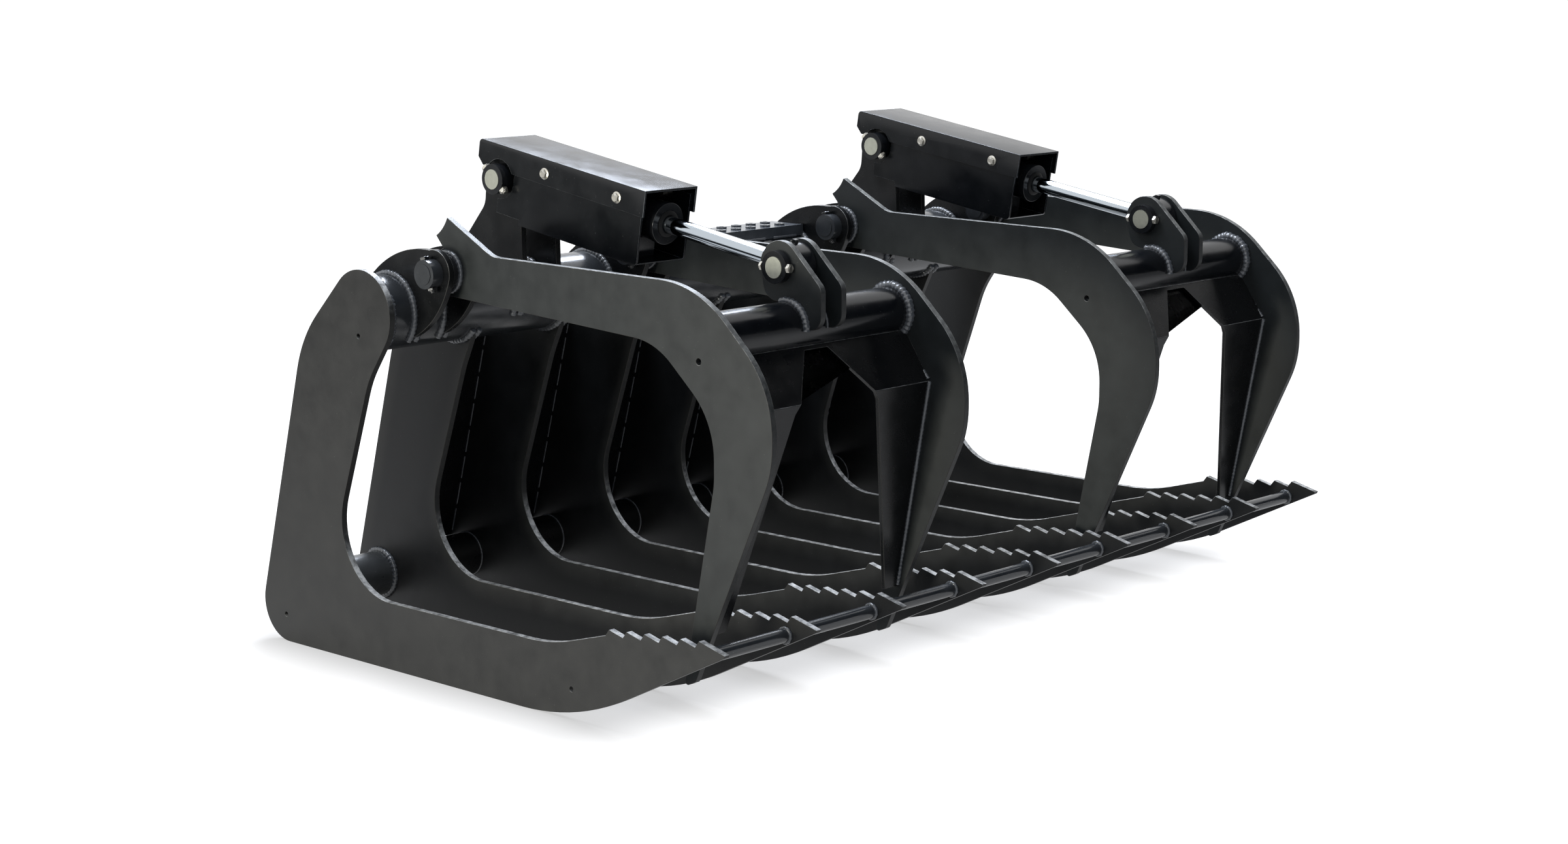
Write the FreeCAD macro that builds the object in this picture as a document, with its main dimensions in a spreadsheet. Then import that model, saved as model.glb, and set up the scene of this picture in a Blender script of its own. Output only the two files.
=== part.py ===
"""Root grapple bucket with two hydraulic grapples, as one parametric document.

Frame: X across the bucket, -Y to the tine tips, +Y to the mounting side, Z up from the floor.
The origin is on the floor, in the middle of the bucket's width and depth. Sizes are millimetres
and degrees. Side outlines are drawn in the YZ plane and padded along X.
"""
import FreeCAD, Part
import math
import os
import re
import Sketcher

os.makedirs("parts", exist_ok=True)
doc = FreeCAD.newDocument("GrappleBucket")
V = FreeCAD.Vector

# Driving dimensions
SIZES = {
    # bottom tines
    "tine_pitch": 228.6, "tine_plate": 12.7, "heel_back": 654.0, "heel_round": 76.0, "back_lean": 15.3,
    "shoulder_drop": 58.5, "shoulder_round": 245.0, "head_round": 85.0, "throat_turn": 37.7,
    "throat_front": 292.0, "throat_drop": 122.5, "throat_round": 200.0, "inner_heel": 438.0,
    "inner_heel_round": 137.0, "limb_depth": 129.0, "limb_bend": -196.0, "limb_bend_round": 400.0,
    "belly_bend": -259.0, "belly_round": 600.0, "tip_front": -622.0, "tip_up": 184.0, "tip_blunt": 5.0,
    "tooth_first": -346.0, "tooth_top": 181.0, "tooth_pitch": 43.3, "tooth_run": 34.0,
    "tooth_drop": 8.5, "tooth_rise": 3.6, "drain_bore": 10.0,
    # tubes and front bar
    "tube_back": 309.0, "tube_up": 666.5, "tube_od": 141.3, "tube_wall": 9.5,
    "low_tube_back": 551.0, "low_tube_up": 100.0, "low_tube_od": 88.9, "low_tube_wall": 6.4,
    "bar_front": -549.0, "bar_up": 163.5, "bar_od": 25.4, "weld_gap": 0.3,
    # back panels and quick attach
    "panel_drop": 66.5, "panel_foot": 132.0, "panel_set": 15.0, "panel_plate": 8.0,
    "attach_wide": 1143.0, "attach_plate": 9.5, "attach_foot": 150.0, "attach_drop": 146.5,
    "lip_deep": 38.0, "lip_turn": 45.0, "lip_root": 5.0, "ledge_deep": 62.0, "ledge_plate": 12.7,
    "slot_apart": 900.0, "slot_wide": 28.0, "slot_long": 60.0, "slot_back": 34.0,
    # grapple pivots
    "pivot_back": 183.0, "pivot_rise": 81.5, "pin_od": 38.1, "pin_play": 0.05, "ear_plate": 12.7,
    "ear_round": 44.0, "ear_gap": 58.6, "ear_belly": 185.0, "ear_crown": 224.0, "hub_od": 70.0, "hub_play": 0.5,
    "pivot_collar_od": 54.0, "pivot_collar_long": 24.0, "pin_proud": 1.5, "cross_bolt_od": 10.0,
    "cross_bolt_play": 0.1, "cross_bolt_head": 17.0, "cross_bolt_head_high": 6.4, "base_bolt_inset": 8.0,
    "rod_bolt_od": 8.0, "rod_bolt_head": 13.0, "rod_bolt_head_high": 5.5, "rod_bolt_inset": 6.2,
    # grapple arms
    "outer_arm_offset": 120.85, "inner_arm_offset": 68.75, "arm_plate": 12.7, "boss_round": 45.0,
    "tab_low_back": 216.0, "tab_low_rise": 65.5, "tab_top_back": 184.0, "tab_top_rise": 100.5,
    "tab_hollow": 75.0, "valley_front": 62.0, "valley_rise": 37.0, "valley_round": 60.0,
    "arch_rise": 32.0, "arch_bend": -458.0, "arch_bend_round": 230.0, "arch_front": -630.0,
    "arch_shoulder_fall": 130.0, "arch_shoulder_round": 200.0, "claw_bend_fall": 138.0, "claw_round": 190.0,
    "claw_front": -448.0, "claw_front_up": 84.0, "claw_end_round": 10.0, "claw_tip": -421.0,
    "claw_tip_up": 72.0, "claw_inner": -495.0, "claw_inner_fall": 40.0, "claw_inner_round": 150.0,
    "inner_shoulder_fall": 69.0, "inner_bend": -356.0, "inner_bend_fall": 109.0, "inner_round": 150.0,
    "arm_hole_front": -460.0, "arm_hole_fall": 132.0, "arm_hole": 12.0,
    # grapple cross tube and web
    "cross_front": -457.0, "cross_fall": 95.5, "cross_od": 88.9, "cross_wall": 6.4,
    "web_plate": 8.0, "web_start": -488.5, "web_start_fall": 31.5, "web_bend": -548.0,
    "web_bend_fall": 121.0, "web_end_up": 170.0, "web_slope": 10.4, "notch_top": 30.0,
    "notch_top_drop": 8.0, "notch_bend": 98.0, "notch_low": 110.0, "notch_low_drop": 17.0,
    "notch_end": 212.0,
    # cylinder towers, pins and rod ears
    "base_back": 258.0, "base_rise": 236.0, "tower_plate": 12.7, "tower_gap": 74.6, "tower_head": 56.0,
    "tower_waist": 318.0, "tower_waist_fall": 52.5, "tower_foot": 390.0, "tower_foot_rise": 100.5,
    "tower_round": 40.0, "tower_front": 217.0, "collar_od": 58.0, "base_collar_long": 34.5,
    "rod_pin_front": -437.0, "rod_pin_rise": 103.5, "rod_ear_plate": 12.7, "rod_ear_gap": 41.6,
    "rod_ear_round": 46.0, "rod_ear_front": -535.0, "rod_ear_nose_rise": 72.5, "rod_ear_foot_fall": 2.5,
    "rod_ear_back": -403.0, "rod_ear_back_rise": 42.5, "rod_collar_long": 14.5,
    # hydraulic cylinder, measured from the base pin along its own line
    "barrel_od": 76.2, "barrel_bore": 63.5, "barrel_start": 62.0, "barrel_end": 376.0,
    "barrel_cap": 18.0, "base_eye_round": 36.0, "base_eye_wide": 70.0, "base_neck_high": 52.0,
    "gland_od": 79.0, "gland_end": 392.0, "gland_plug": 28.0, "rod_od": 31.75, "piston_long": 26.0,
    "slide_play": 0.05, "piston_stop": 4.0, "rod_eye_round": 40.0, "rod_eye_wide": 38.0,
    "rod_eye_play": 16.5, "rod_socket_od": 40.0, "rod_socket_long": 12.0, "grease_od": 8.0,
    "grease_high": 7.0,
    # cylinder guard and its bolted cover
    "guard_wide": 126.6, "guard_plate": 4.0, "guard_foot": -77.0, "guard_step": -66.0,
    "guard_rear": -2.0, "guard_step_end": 62.0, "guard_end": 384.0, "guard_top": 50.0,
    "guard_notch": 38.0, "guard_bend": 9.0, "lug_long": 30.0, "lug_wide": 40.0, "lug_first": 110.0,
    "lug_last": 330.0, "cover_gap": 0.3, "cover_plate": 4.0, "cover_top": 66.0, "cover_seam": 17.0,
    "cover_rear": 63.0, "cover_rear_low": 31.0, "cover_end": 392.0, "cover_bend": 9.0,
    "cover_bolt_first": 125.0, "cover_bolt_last": 321.0, "cover_bolt_up": 38.0, "cover_bolt_od": 10.0,
    "cover_bolt_flange": 22.0, "cover_bolt_head": 16.0, "cover_bolt_head_high": 7.0,
    "cover_bolt_long": 26.0,
    # step tread between the grapples
    "tread_wide": 90.0, "tread_rise": 81.5, "tread_plate": 5.0, "tread_gap": 4.5,
    "button_od": 22.0, "button_high": 4.0, "button_bore": 10.0, "button_row": 42.0, "button_pitch": 45.0,
}
TINES = 9
TEETH = 6
BUTTONS = 10

sheet = doc.addObject("Spreadsheet::Sheet", "Sizes")
for row, (alias, size) in enumerate(SIZES.items(), start=1):
    sheet.set(f"A{row}", alias)
    sheet.set(f"B{row}", str(size))
    sheet.setAlias(f"B{row}", alias)
doc.recompute()

# Side outlines are measured from the middle of the tines; the origin is mid-depth of the whole bucket
MID_DEPTH = "((arch_front + heel_back - attach_foot * tan(back_lean) + ledge_deep) / 2)"

# Heights that go together: each is measured from what carries it, down to the main tube
HEIGHTS = {
    "attach_top": "(tube_up - attach_drop)",
    "tread_up": "(tube_up + tread_rise)",
    "pivot_up": "(tube_up + pivot_rise)",
    "base_up": "(tube_up + base_rise)",
    "tower_waist_up": "(base_up - tower_waist_fall)",
    "tower_foot_up": "(tube_up + tower_foot_rise)",
    "tab_low_up": "(pivot_up + tab_low_rise)",
    "tab_top_up": "(pivot_up + tab_top_rise)",
    "valley_up": "(pivot_up + valley_rise)",
    "arch_top": "(pivot_up + arch_rise)",
    "arch_shoulder": "(pivot_up - arch_shoulder_fall)",
    "claw_bend": "(arch_shoulder - claw_bend_fall)",
    "claw_inner_up": "(claw_bend - claw_inner_fall)",
    "inner_shoulder": "(arch_shoulder - inner_shoulder_fall)",
    "inner_bend_up": "(arch_top - inner_bend_fall)",
    "arm_hole_up": "(arch_top - arm_hole_fall)",
    "cross_up": "(arch_top - cross_fall)",
    "web_start_up": "(cross_up - web_start_fall)",
    "web_bend_up": "(cross_up - web_bend_fall)",
    "rod_pin_up": "(cross_up + rod_pin_rise)",
    "rod_ear_nose_up": "(cross_up + rod_ear_nose_rise)",
    "rod_ear_foot_up": "(cross_up - rod_ear_foot_fall)",
    "rod_ear_back_up": "(cross_up + rod_ear_back_rise)",
}
ALIASES = re.compile(r"\b(" + "|".join(SIZES) + r")\b")
CARRIED = re.compile(r"\b(" + "|".join(HEIGHTS) + r")\b")
NODES = []


def sized(text):
    """Return an expression on the sheet's cells, with each carried height spelled out."""
    text = str(text)
    while CARRIED.search(text):
        text = CARRIED.sub(lambda found: HEIGHTS[found.group(1)], text)
    return ALIASES.sub(r"Sizes.\1", text)


def number(text):
    """Return what an expression is worth now."""
    result = sheet.evalExpression(sized(text))
    return float(getattr(result, "Value", result))


def node(item, label):
    """Name an object as a sub-part that is written out."""
    item.Label = label
    NODES.append(item)
    return item


def new_body(name):
    """Start a body."""
    return doc.addObject("PartDesign::Body", name)


def new_sketch(body, role):
    """Start a sketch on one of the body's own origin planes."""
    sketch = body.newObject("Sketcher::SketchObject", "Sketch")
    plane = next(item for item in body.Origin.OriginFeatures if item.Role == role)
    sketch.AttachmentSupport = [(plane, "")]
    sketch.MapMode = "FlatFace"
    return sketch


def bind(sketch, kind, places, text):
    """Add a dimension that follows an expression."""
    index = sketch.addConstraint(Sketcher.Constraint(kind, *places, number(text)))
    sketch.setExpression(f"Constraints[{index}]", sized(text))


def pin_point(sketch, geometry, end, across, up):
    """Hold a point at two expressions, measured from the sketch's origin."""
    for kind, text, axis in (("DistanceX", across, -2), ("DistanceY", up, -1)):
        if text == "0":
            sketch.addConstraint(Sketcher.Constraint("PointOnObject", geometry, end, axis))
        else:
            bind(sketch, kind, (-1, 1, geometry, end), text)


def arc_between(start, end, radius, turn):
    """Make the short arc from start to end; turn is 1 anticlockwise and -1 clockwise."""
    chord = end.sub(start)
    half = chord.Length / 2
    left = V(-chord.y, chord.x, 0).normalize()
    rise = radius - math.sqrt(max(radius * radius - half * half, 0.0))
    middle = start.add(end).multiply(0.5).sub(left.multiply(turn * rise))
    return Part.Arc(start, middle, end)


def add_outline(sketch, steps):
    """Draw a closed outline of sharp corners, rounded corners and arcs.

    A step is (across, up) for a sharp corner, (across, up, radius) for a rounded one and
    ("arc", radius, turn) for an arc from the corner before it to the corner after it.
    """
    corners, arcs = [], {}
    for step in steps:
        if step[0] == "arc":
            arcs[len(corners) - 1] = step[1:]
        else:
            corners.append(step)
    count = len(corners)
    spots = [V(number(step[0]), number(step[1]), 0) for step in corners]
    ends = []
    for index, corner in enumerate(corners):
        if len(corner) < 3:
            ends.append((spots[index], spots[index], None))
            continue
        back = spots[index - 1].sub(spots[index]).normalize()
        ahead = spots[(index + 1) % count].sub(spots[index]).normalize()
        reach = number(corner[2]) / math.tan(back.getAngle(ahead) / 2)
        turn = 1 if back.cross(ahead).z < 0 else -1
        enter = spots[index].add(V(back).multiply(reach))
        leave = spots[index].add(V(ahead).multiply(reach))
        ends.append((enter, leave, turn))
    edges = []
    for index in range(count):
        start, end = ends[index][1], ends[(index + 1) % count][0]
        if index in arcs:
            radius, turn = arcs[index]
            geometry = sketch.addGeometry(arc_between(start, end, number(radius), turn))
            bind(sketch, "Radius", (geometry,), radius)
            edges.append((geometry, 1, 2) if turn == 1 else (geometry, 2, 1))
        else:
            edges.append((sketch.addGeometry(Part.LineSegment(start, end)), 1, 2))
    for index, corner in enumerate(corners):
        before, after = edges[index - 1], edges[index]
        if len(corner) < 3:
            sketch.addConstraint(Sketcher.Constraint("Coincident", before[0], before[2], after[0], after[1]))
            pin_point(sketch, after[0], after[1], corner[0], corner[1])
            continue
        enter, leave, turn = ends[index]
        geometry = sketch.addGeometry(arc_between(enter, leave, number(corner[2]), turn))
        first, last = (1, 2) if turn == 1 else (2, 1)
        sketch.addConstraint(Sketcher.Constraint("Tangent", before[0], before[2], geometry, first))
        sketch.addConstraint(Sketcher.Constraint("Tangent", geometry, last, after[0], after[1]))
        bind(sketch, "Radius", (geometry,), corner[2])
        point = sketch.addGeometry(Part.Point(spots[index]), True)
        pin_point(sketch, point, 1, corner[0], corner[1])
        sketch.addConstraint(Sketcher.Constraint("PointOnObject", point, 1, before[0]))
        sketch.addConstraint(Sketcher.Constraint("PointOnObject", point, 1, after[0]))


def add_circle(sketch, across, up, diameter):
    """Draw a circle."""
    centre = V(number(across), number(up), 0)
    geometry = sketch.addGeometry(Part.Circle(centre, V(0, 0, 1), number(diameter) / 2))
    pin_point(sketch, geometry, 3, across, up)
    bind(sketch, "Diameter", (geometry,), diameter)


def draw(body, steps, circles=(), role="YZ_Plane"):
    """Draw one sketch from an outline and circles."""
    sketch = new_sketch(body, role)
    if steps:
        add_outline(sketch, steps)
    for circle in circles:
        add_circle(sketch, *circle)
    return sketch


def pad(body, sketch, thick):
    """Pad a sketch equally to both sides of its plane."""
    feature = body.newObject("PartDesign::Pad", "Pad")
    feature.Profile = sketch
    feature.SideType = "Symmetric"
    feature.setExpression("Length", sized(thick))
    return feature


def pocket(body, sketch, thick):
    """Cut a sketch equally to both sides of its plane."""
    feature = body.newObject("PartDesign::Pocket", "Pocket")
    feature.Profile = sketch
    feature.SideType = "Symmetric"
    feature.setExpression("Length", sized(thick))
    return feature


def turned(body, steps):
    """Revolve an outline about the sketch's horizontal axis."""
    sketch = draw(body, steps)
    feature = body.newObject("PartDesign::Revolution", "Revolution")
    feature.Profile = sketch
    feature.ReferenceAxis = (sketch, ["H_Axis"])
    feature.Angle = 360
    return feature


def place(item, across="0", back="0", up="0", tilt=None):
    """Place an object by expressions, tilted about X and moved so that the origin is mid-depth."""
    if tilt is not None:
        item.Placement.Rotation = FreeCAD.Rotation(V(1, 0, 0), number(tilt))
        item.setExpression("Placement.Rotation.Angle", sized(tilt))
    item.setExpression("Placement.Base.x", sized(across))
    item.setExpression("Placement.Base.y", sized(f"{back} - {MID_DEPTH}"))
    item.setExpression("Placement.Base.z", sized(up))
    return item


def plate(name, steps, thick, across, circles=(), back="0", up="0", tilt=None):
    """Make a flat piece from a side outline."""
    body = new_body(name)
    pad(body, draw(body, steps, circles), thick)
    return place(body, across, back, up, tilt)


def gathered(label, items):
    """Put equal or paired pieces in one sub-part, each its own solid."""
    group = doc.addObject("Part::Compound", "Group")
    group.Links = items
    return node(group, label)


def rod_along_x(name, across, back, up, diameter, long):
    """Make a round bar along X about a middle point."""
    bar = doc.addObject("Part::Cylinder", name)
    bar.setExpression("Radius", sized(f"({diameter}) / 2"))
    bar.setExpression("Height", sized(long))
    bar.Placement.Rotation = FreeCAD.Rotation(V(0, 1, 0), 90)
    bar.setExpression("Placement.Base.x", sized(f"({across}) - ({long}) / 2"))
    bar.setExpression("Placement.Base.y", sized(f"{back} - {MID_DEPTH}"))
    bar.setExpression("Placement.Base.z", sized(up))
    return bar


def cut(base, tool):
    """Cut one solid from another."""
    result = doc.addObject("Part::Cut", "Cut")
    result.Base = base
    result.Tool = tool
    return result


def upright(kind, name, across, back, up, low, high, lean, width):
    """Make a round or hexagonal bar across X, leaning about X, from low to high along itself."""
    bar = doc.addObject(kind, name)
    if kind == "Part::Prism":
        bar.Polygon = 6
        bar.setExpression("Circumradius", sized(f"({width}) / 2 / cos(30)"))
    else:
        bar.setExpression("Radius", sized(f"({width}) / 2"))
    bar.setExpression("Height", sized(f"({high}) - ({low})"))
    bar.Placement.Rotation = FreeCAD.Rotation(V(1, 0, 0), lean)
    bar.setExpression("Placement.Base.x", sized(across))
    bar.setExpression("Placement.Base.y", sized(f"({back}) - sin({lean}) * ({low}) - {MID_DEPTH}"))
    bar.setExpression("Placement.Base.z", sized(f"({up}) + cos({lean}) * ({low})"))
    return bar


def cross_bolt(across, back, up, collar, lean, kind="cross_bolt"):
    """Make a bolt with its head and nut, through a collar and its pin."""
    spot = (across, back, up)
    reach = f"(({collar}) / 2)"
    high = f"{kind}_head_high"
    shank = upright("Part::Cylinder", "Shank", *spot, f"-{reach} - {high} * 1.3", f"{reach} + {high} / 2", lean,
                    f"{kind}_od")
    head = upright("Part::Prism", "Head", *spot, reach, f"{reach} + {high}", lean, f"{kind}_head")
    nut = upright("Part::Prism", "Nut", *spot, f"-{reach} - {high}", f"-{reach}", lean, f"{kind}_head")
    bolt = doc.addObject("Part::MultiFuse", "Bolt")
    bolt.Shapes = [shank, head, nut]
    return bolt


def bolt_hole(across, back, up, collar, lean, kind="cross_bolt"):
    """Make the round bar that cuts a cross bolt's hole."""
    return upright("Part::Cylinder", "Hole", across, back, up, f"-({collar})", collar, lean,
                   f"{kind}_od + 2 * cross_bolt_play")


# Places that several pieces share
HALF_TINES = (TINES - 1) / 2
TUBE_LONG = f"({TINES - 1} * tine_pitch - tine_plate)"
SHOULDER_UP = "(tube_up - shoulder_drop)"
SHOULDER_BACK = f"(heel_back - {SHOULDER_UP} * tan(back_lean))"
OUTER_ARM = "(3 * tine_pitch + outer_arm_offset)"
INNER_ARM = "(tine_pitch + inner_arm_offset)"
PIVOTS = {
    "left_outer": ("left", f"-{OUTER_ARM}"),
    "left_inner": ("left", f"-{INNER_ARM}"),
    "right_inner": ("right", INNER_ARM),
    "right_outer": ("right", OUTER_ARM),
}
CENTRES = {"left": f"-({OUTER_ARM} + {INNER_ARM}) / 2", "right": f"({OUTER_ARM} + {INNER_ARM}) / 2"}
INSIDE = f"({OUTER_ARM} - {INNER_ARM} - arm_plate)"
TILT = "atan2(base_up - rod_pin_up; base_back - rod_pin_front)"
REACH = "sqrt((base_up - rod_pin_up)^2 + (base_back - rod_pin_front)^2)"
SADDLE = "(tube_od / 2 + weld_gap)"
NOTCH_TOP_UP = "web_start_up - notch_top_drop"


def on_circle(back, up, radius, angle):
    """Return a point on a circle, by angle from +Y."""
    return f"{back} + {radius} * cos({angle})", f"{up} + {radius} * sin({angle})"


# Bottom tines: the end pair has a round head over the main tube's ends
def tine_steps(is_end):
    """Return a tine's side outline, anticlockwise from the heel."""
    steps = [("heel_back", "0", "heel_round")]
    steps.append((SHOULDER_BACK, SHOULDER_UP, "shoulder_round"))
    if is_end:
        steps.append(on_circle("tube_back", "tube_up", "head_round", 45))
        steps.append(("arc", "head_round", 1))
        steps.append(on_circle("tube_back", "tube_up", "head_round", "(180 + throat_turn)"))
    else:
        steps.append((f"{SHOULDER_BACK} - shoulder_drop", "tube_up"))
        steps.append((f"tube_back + {SADDLE}", "tube_up"))
        steps.append(("arc", SADDLE, -1))
        steps.append(on_circle("tube_back", "tube_up", SADDLE, "(184 + throat_turn)"))
    steps.append(("throat_front", "tube_up - throat_drop", "throat_round"))
    steps.append(("inner_heel", "limb_depth", "inner_heel_round"))
    steps.append(("limb_bend", "limb_depth", "limb_bend_round"))
    steps.append(("tooth_first + tooth_pitch - tooth_run", "tooth_top - tooth_drop - tooth_rise"))
    for tooth in range(TEETH):
        front = f"tooth_first - {tooth} * tooth_pitch"
        top = f"tooth_top + {tooth} * tooth_rise"
        steps.append((front, top))
        if tooth < TEETH - 1:
            steps.append((f"{front} - tooth_run", f"{top} - tooth_drop"))
    steps.append(("tip_front", "tip_up"))
    steps.append(("tip_front + tip_blunt / 2", "tip_up - tip_blunt"))
    steps.append(("belly_bend", "0", "belly_round"))
    return steps


DRAINS = [("tube_back + 8", "tube_up - 40", "drain_bore"),
          ("heel_back - heel_round - 15", "heel_round - 22.5", "drain_bore"),
          ("belly_bend + 10", "56.5", "drain_bore")]
BAR_HOLE = ("bar_front", "bar_up", "bar_od + 2 * weld_gap")
for index in range(TINES):
    is_end = index in (0, TINES - 1)
    holes = DRAINS if is_end else [BAR_HOLE]
    tine = plate("Tine", tine_steps(is_end), "tine_plate", f"({index} - {HALF_TINES}) * tine_pitch", holes)
    node(tine, f"tine_{index + 1}")


# Tubes and bar that carry the tines
def tube(label, back, up, diameter, wall, long, across="0"):
    """Make a tube along X."""
    circles = [(back, up, diameter), (back, up, f"{diameter} - 2 * {wall}")]
    return node(plate("Tube", [], long, across, circles), label)


tube("main_tube", "tube_back", "tube_up", "tube_od", "tube_wall", TUBE_LONG)
node(rod_along_x("FrontBar", "0", "bar_front", "bar_up", "bar_od", TUBE_LONG), "front_cross_bar")
low_tubes = []
for index in range(TINES - 1):
    circles = [("low_tube_back", "low_tube_up", "low_tube_od"),
               ("low_tube_back", "low_tube_up", "low_tube_od - 2 * low_tube_wall")]
    low_tubes.append(plate("LowTube", [], "tine_pitch - tine_plate",
                           f"({index} - {HALF_TINES} + 0.5) * tine_pitch", circles))
gathered("rear_lower_tube", low_tubes)

# Back panels between the tines, set in from the tines' rear edges
PANEL_TOP = "(tube_up - panel_drop)"
PANEL_FACE = "(heel_back - panel_set / cos(back_lean) - {0} * tan(back_lean))"
PANEL_BACK = "(heel_back + (panel_plate - panel_set) / cos(back_lean) - {0} * tan(back_lean))"
panels = []
for index in range(1, TINES - 2):
    steps = [(PANEL_FACE.format("panel_foot"), "panel_foot"), (PANEL_BACK.format("panel_foot"), "panel_foot"),
             (PANEL_BACK.format(PANEL_TOP), PANEL_TOP), (PANEL_FACE.format(PANEL_TOP), PANEL_TOP)]
    panels.append(plate("Panel", steps, "tine_pitch - tine_plate",
                        f"({index} - {HALF_TINES} + 0.5) * tine_pitch"))
gathered("back_panels", panels)

# Quick attach: plate on the tines' rear edges, top lip and slotted bottom ledge
EDGE = "(heel_back - {0} * tan(back_lean))"
OUTSIDE = "(heel_back + attach_plate / cos(back_lean) - {0} * tan(back_lean))"
attach = [(EDGE.format("attach_foot"), "attach_foot"), (OUTSIDE.format("attach_foot"), "attach_foot"),
          (OUTSIDE.format("attach_top"), "attach_top"), (EDGE.format("attach_top"), "attach_top")]
node(plate("AttachPlate", attach, "attach_wide", "0"), "attach_plate")
LIP_FACE = OUTSIDE.format("attach_top")
LIP_ROOT = f"({LIP_FACE} + lip_root * cos(back_lean))"
LIP_UP = "(attach_top + lip_root * sin(back_lean))"
lip = [(EDGE.format("attach_top"), "attach_top"), (LIP_FACE, "attach_top"), (LIP_ROOT, LIP_UP),
       (f"{LIP_ROOT} + lip_deep * sin(lip_turn)", f"{LIP_UP} - lip_deep * cos(lip_turn)"),
       (f"{LIP_ROOT} + lip_deep * sin(lip_turn) + attach_plate * cos(lip_turn)",
        f"{LIP_UP} - lip_deep * cos(lip_turn) + attach_plate * sin(lip_turn)"),
       (f"{LIP_ROOT} + attach_plate * 0.6", f"{LIP_UP} + attach_plate"),
       (EDGE.format("attach_top"), f"{LIP_UP} + attach_plate")]
node(plate("AttachLip", lip, "attach_wide", "0"), "attach_top_lip")
LEDGE_BACK = f"({EDGE.format('attach_foot')} + ledge_deep)"
LEDGE_FRONT = f"({EDGE.format('(attach_foot - ledge_plate)')})"
ledge = new_body("Ledge")
pad(ledge, draw(ledge, [(LEDGE_FRONT, "attach_foot - ledge_plate"), (LEDGE_BACK, "attach_foot - ledge_plate"),
                        (LEDGE_BACK, "attach_foot"), (EDGE.format("attach_foot"), "attach_foot")]),
    "attach_wide")
slots = new_sketch(ledge, "XY_Plane")
for side in (-1, 1):
    low = f"{side} * slot_apart / 2 - (slot_long - slot_wide) / 2"
    high = f"{side} * slot_apart / 2 + (slot_long - slot_wide) / 2"
    middle = f"{EDGE.format('attach_foot')} + slot_back"
    near, far = f"{middle} - slot_wide / 2", f"{middle} + slot_wide / 2"
    corners = [V(number(a), number(b), 0) for a, b in ((low, near), (high, near), (high, far), (low, far))]
    first = slots.addGeometry(Part.LineSegment(corners[0], corners[1]))
    bend = slots.addGeometry(arc_between(corners[1], corners[2], number("slot_wide / 2"), 1))
    last = slots.addGeometry(Part.LineSegment(corners[2], corners[3]))
    close = slots.addGeometry(arc_between(corners[3], corners[0], number("slot_wide / 2"), 1))
    for one, two in ((first, bend), (bend, last), (last, close), (close, first)):
        slots.addConstraint(Sketcher.Constraint("Tangent", one, 2, two, 1))
    slots.addConstraint(Sketcher.Constraint("Horizontal", first))
    pin_point(slots, bend, 3, high, middle)
    pin_point(slots, close, 3, low, middle)
    bind(slots, "Radius", (bend,), "slot_wide / 2")
pocket(ledge, slots, "4 * attach_foot")
node(place(ledge), "attach_bottom_ledge")


# Pivot ears saddled on the main tube, a pair for each arm
def ear_steps():
    """Return the ear's leaf outline: round the pivot, back over the tube and into its saddle."""
    wrap = "(tube_od / 2 + 15)"
    return [
        on_circle("tube_back", "tube_up", SADDLE, 222),
        ("arc", "ear_belly", -1),
        on_circle("pivot_back", "pivot_up", "ear_round", 190),
        ("arc", "ear_round", -1),
        on_circle("pivot_back", "pivot_up", "ear_round", 75),
        ("arc", "ear_crown", -1),
        on_circle("tube_back", "tube_up", wrap, 58),
        ("arc", wrap, -1),
        on_circle("tube_back", "tube_up", wrap, 0),
        on_circle("tube_back", "tube_up", SADDLE, 0),
        ("arc", SADDLE, 1),
        on_circle("tube_back", "tube_up", SADDLE, 110),
        ("arc", SADDLE, 1),
    ]


PIN_HOLE = ("pivot_back", "pivot_up", "pin_od + 2 * pin_play")
EAR_MIDDLE = "(ear_gap + ear_plate) / 2"
COLLAR_MIDDLE = "(ear_gap / 2 + ear_plate + pivot_collar_long / 2)"
pins, collars, bolts = [], [], []
ears = {"left": [], "right": []}
for side, across in PIVOTS.values():
    for sign in (-1, 1):
        spot = f"{across} + {sign} * {EAR_MIDDLE}"
        ears[side].append(plate("Ear", ear_steps(), "ear_plate", spot, [PIN_HOLE]))
    spot = (f"{across} - {COLLAR_MIDDLE}", "pivot_back", "pivot_up")
    pin = rod_along_x("Pin", across, "pivot_back", "pivot_up", "pin_od",
                      f"2 * ({COLLAR_MIDDLE} + pivot_collar_long / 2 + pin_proud)")
    pins.append(cut(pin, bolt_hole(*spot, "pivot_collar_od", -20)))
    for sign in (-1, 1):
        ring = rod_along_x("Collar", f"{across} + {sign} * {COLLAR_MIDDLE}", "pivot_back", "pivot_up",
                           "pivot_collar_od", "pivot_collar_long")
        bore = rod_along_x("Bore", f"{across} + {sign} * {COLLAR_MIDDLE}", "pivot_back", "pivot_up",
                           "pin_od + 2 * pin_play", "2 * pivot_collar_long")
        ring = cut(ring, bore)
        if sign == -1:
            ring = cut(ring, bolt_hole(*spot, "pivot_collar_od", -20))
        collars.append(ring)
    bolts.append(cross_bolt(*spot, "pivot_collar_od", -20))
for side, plates in ears.items():
    gathered(f"pivot_ears_{side}", plates)
gathered("pivot_pins", pins)
gathered("pivot_collars", collars)
gathered("pivot_bolts", bolts)


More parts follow.
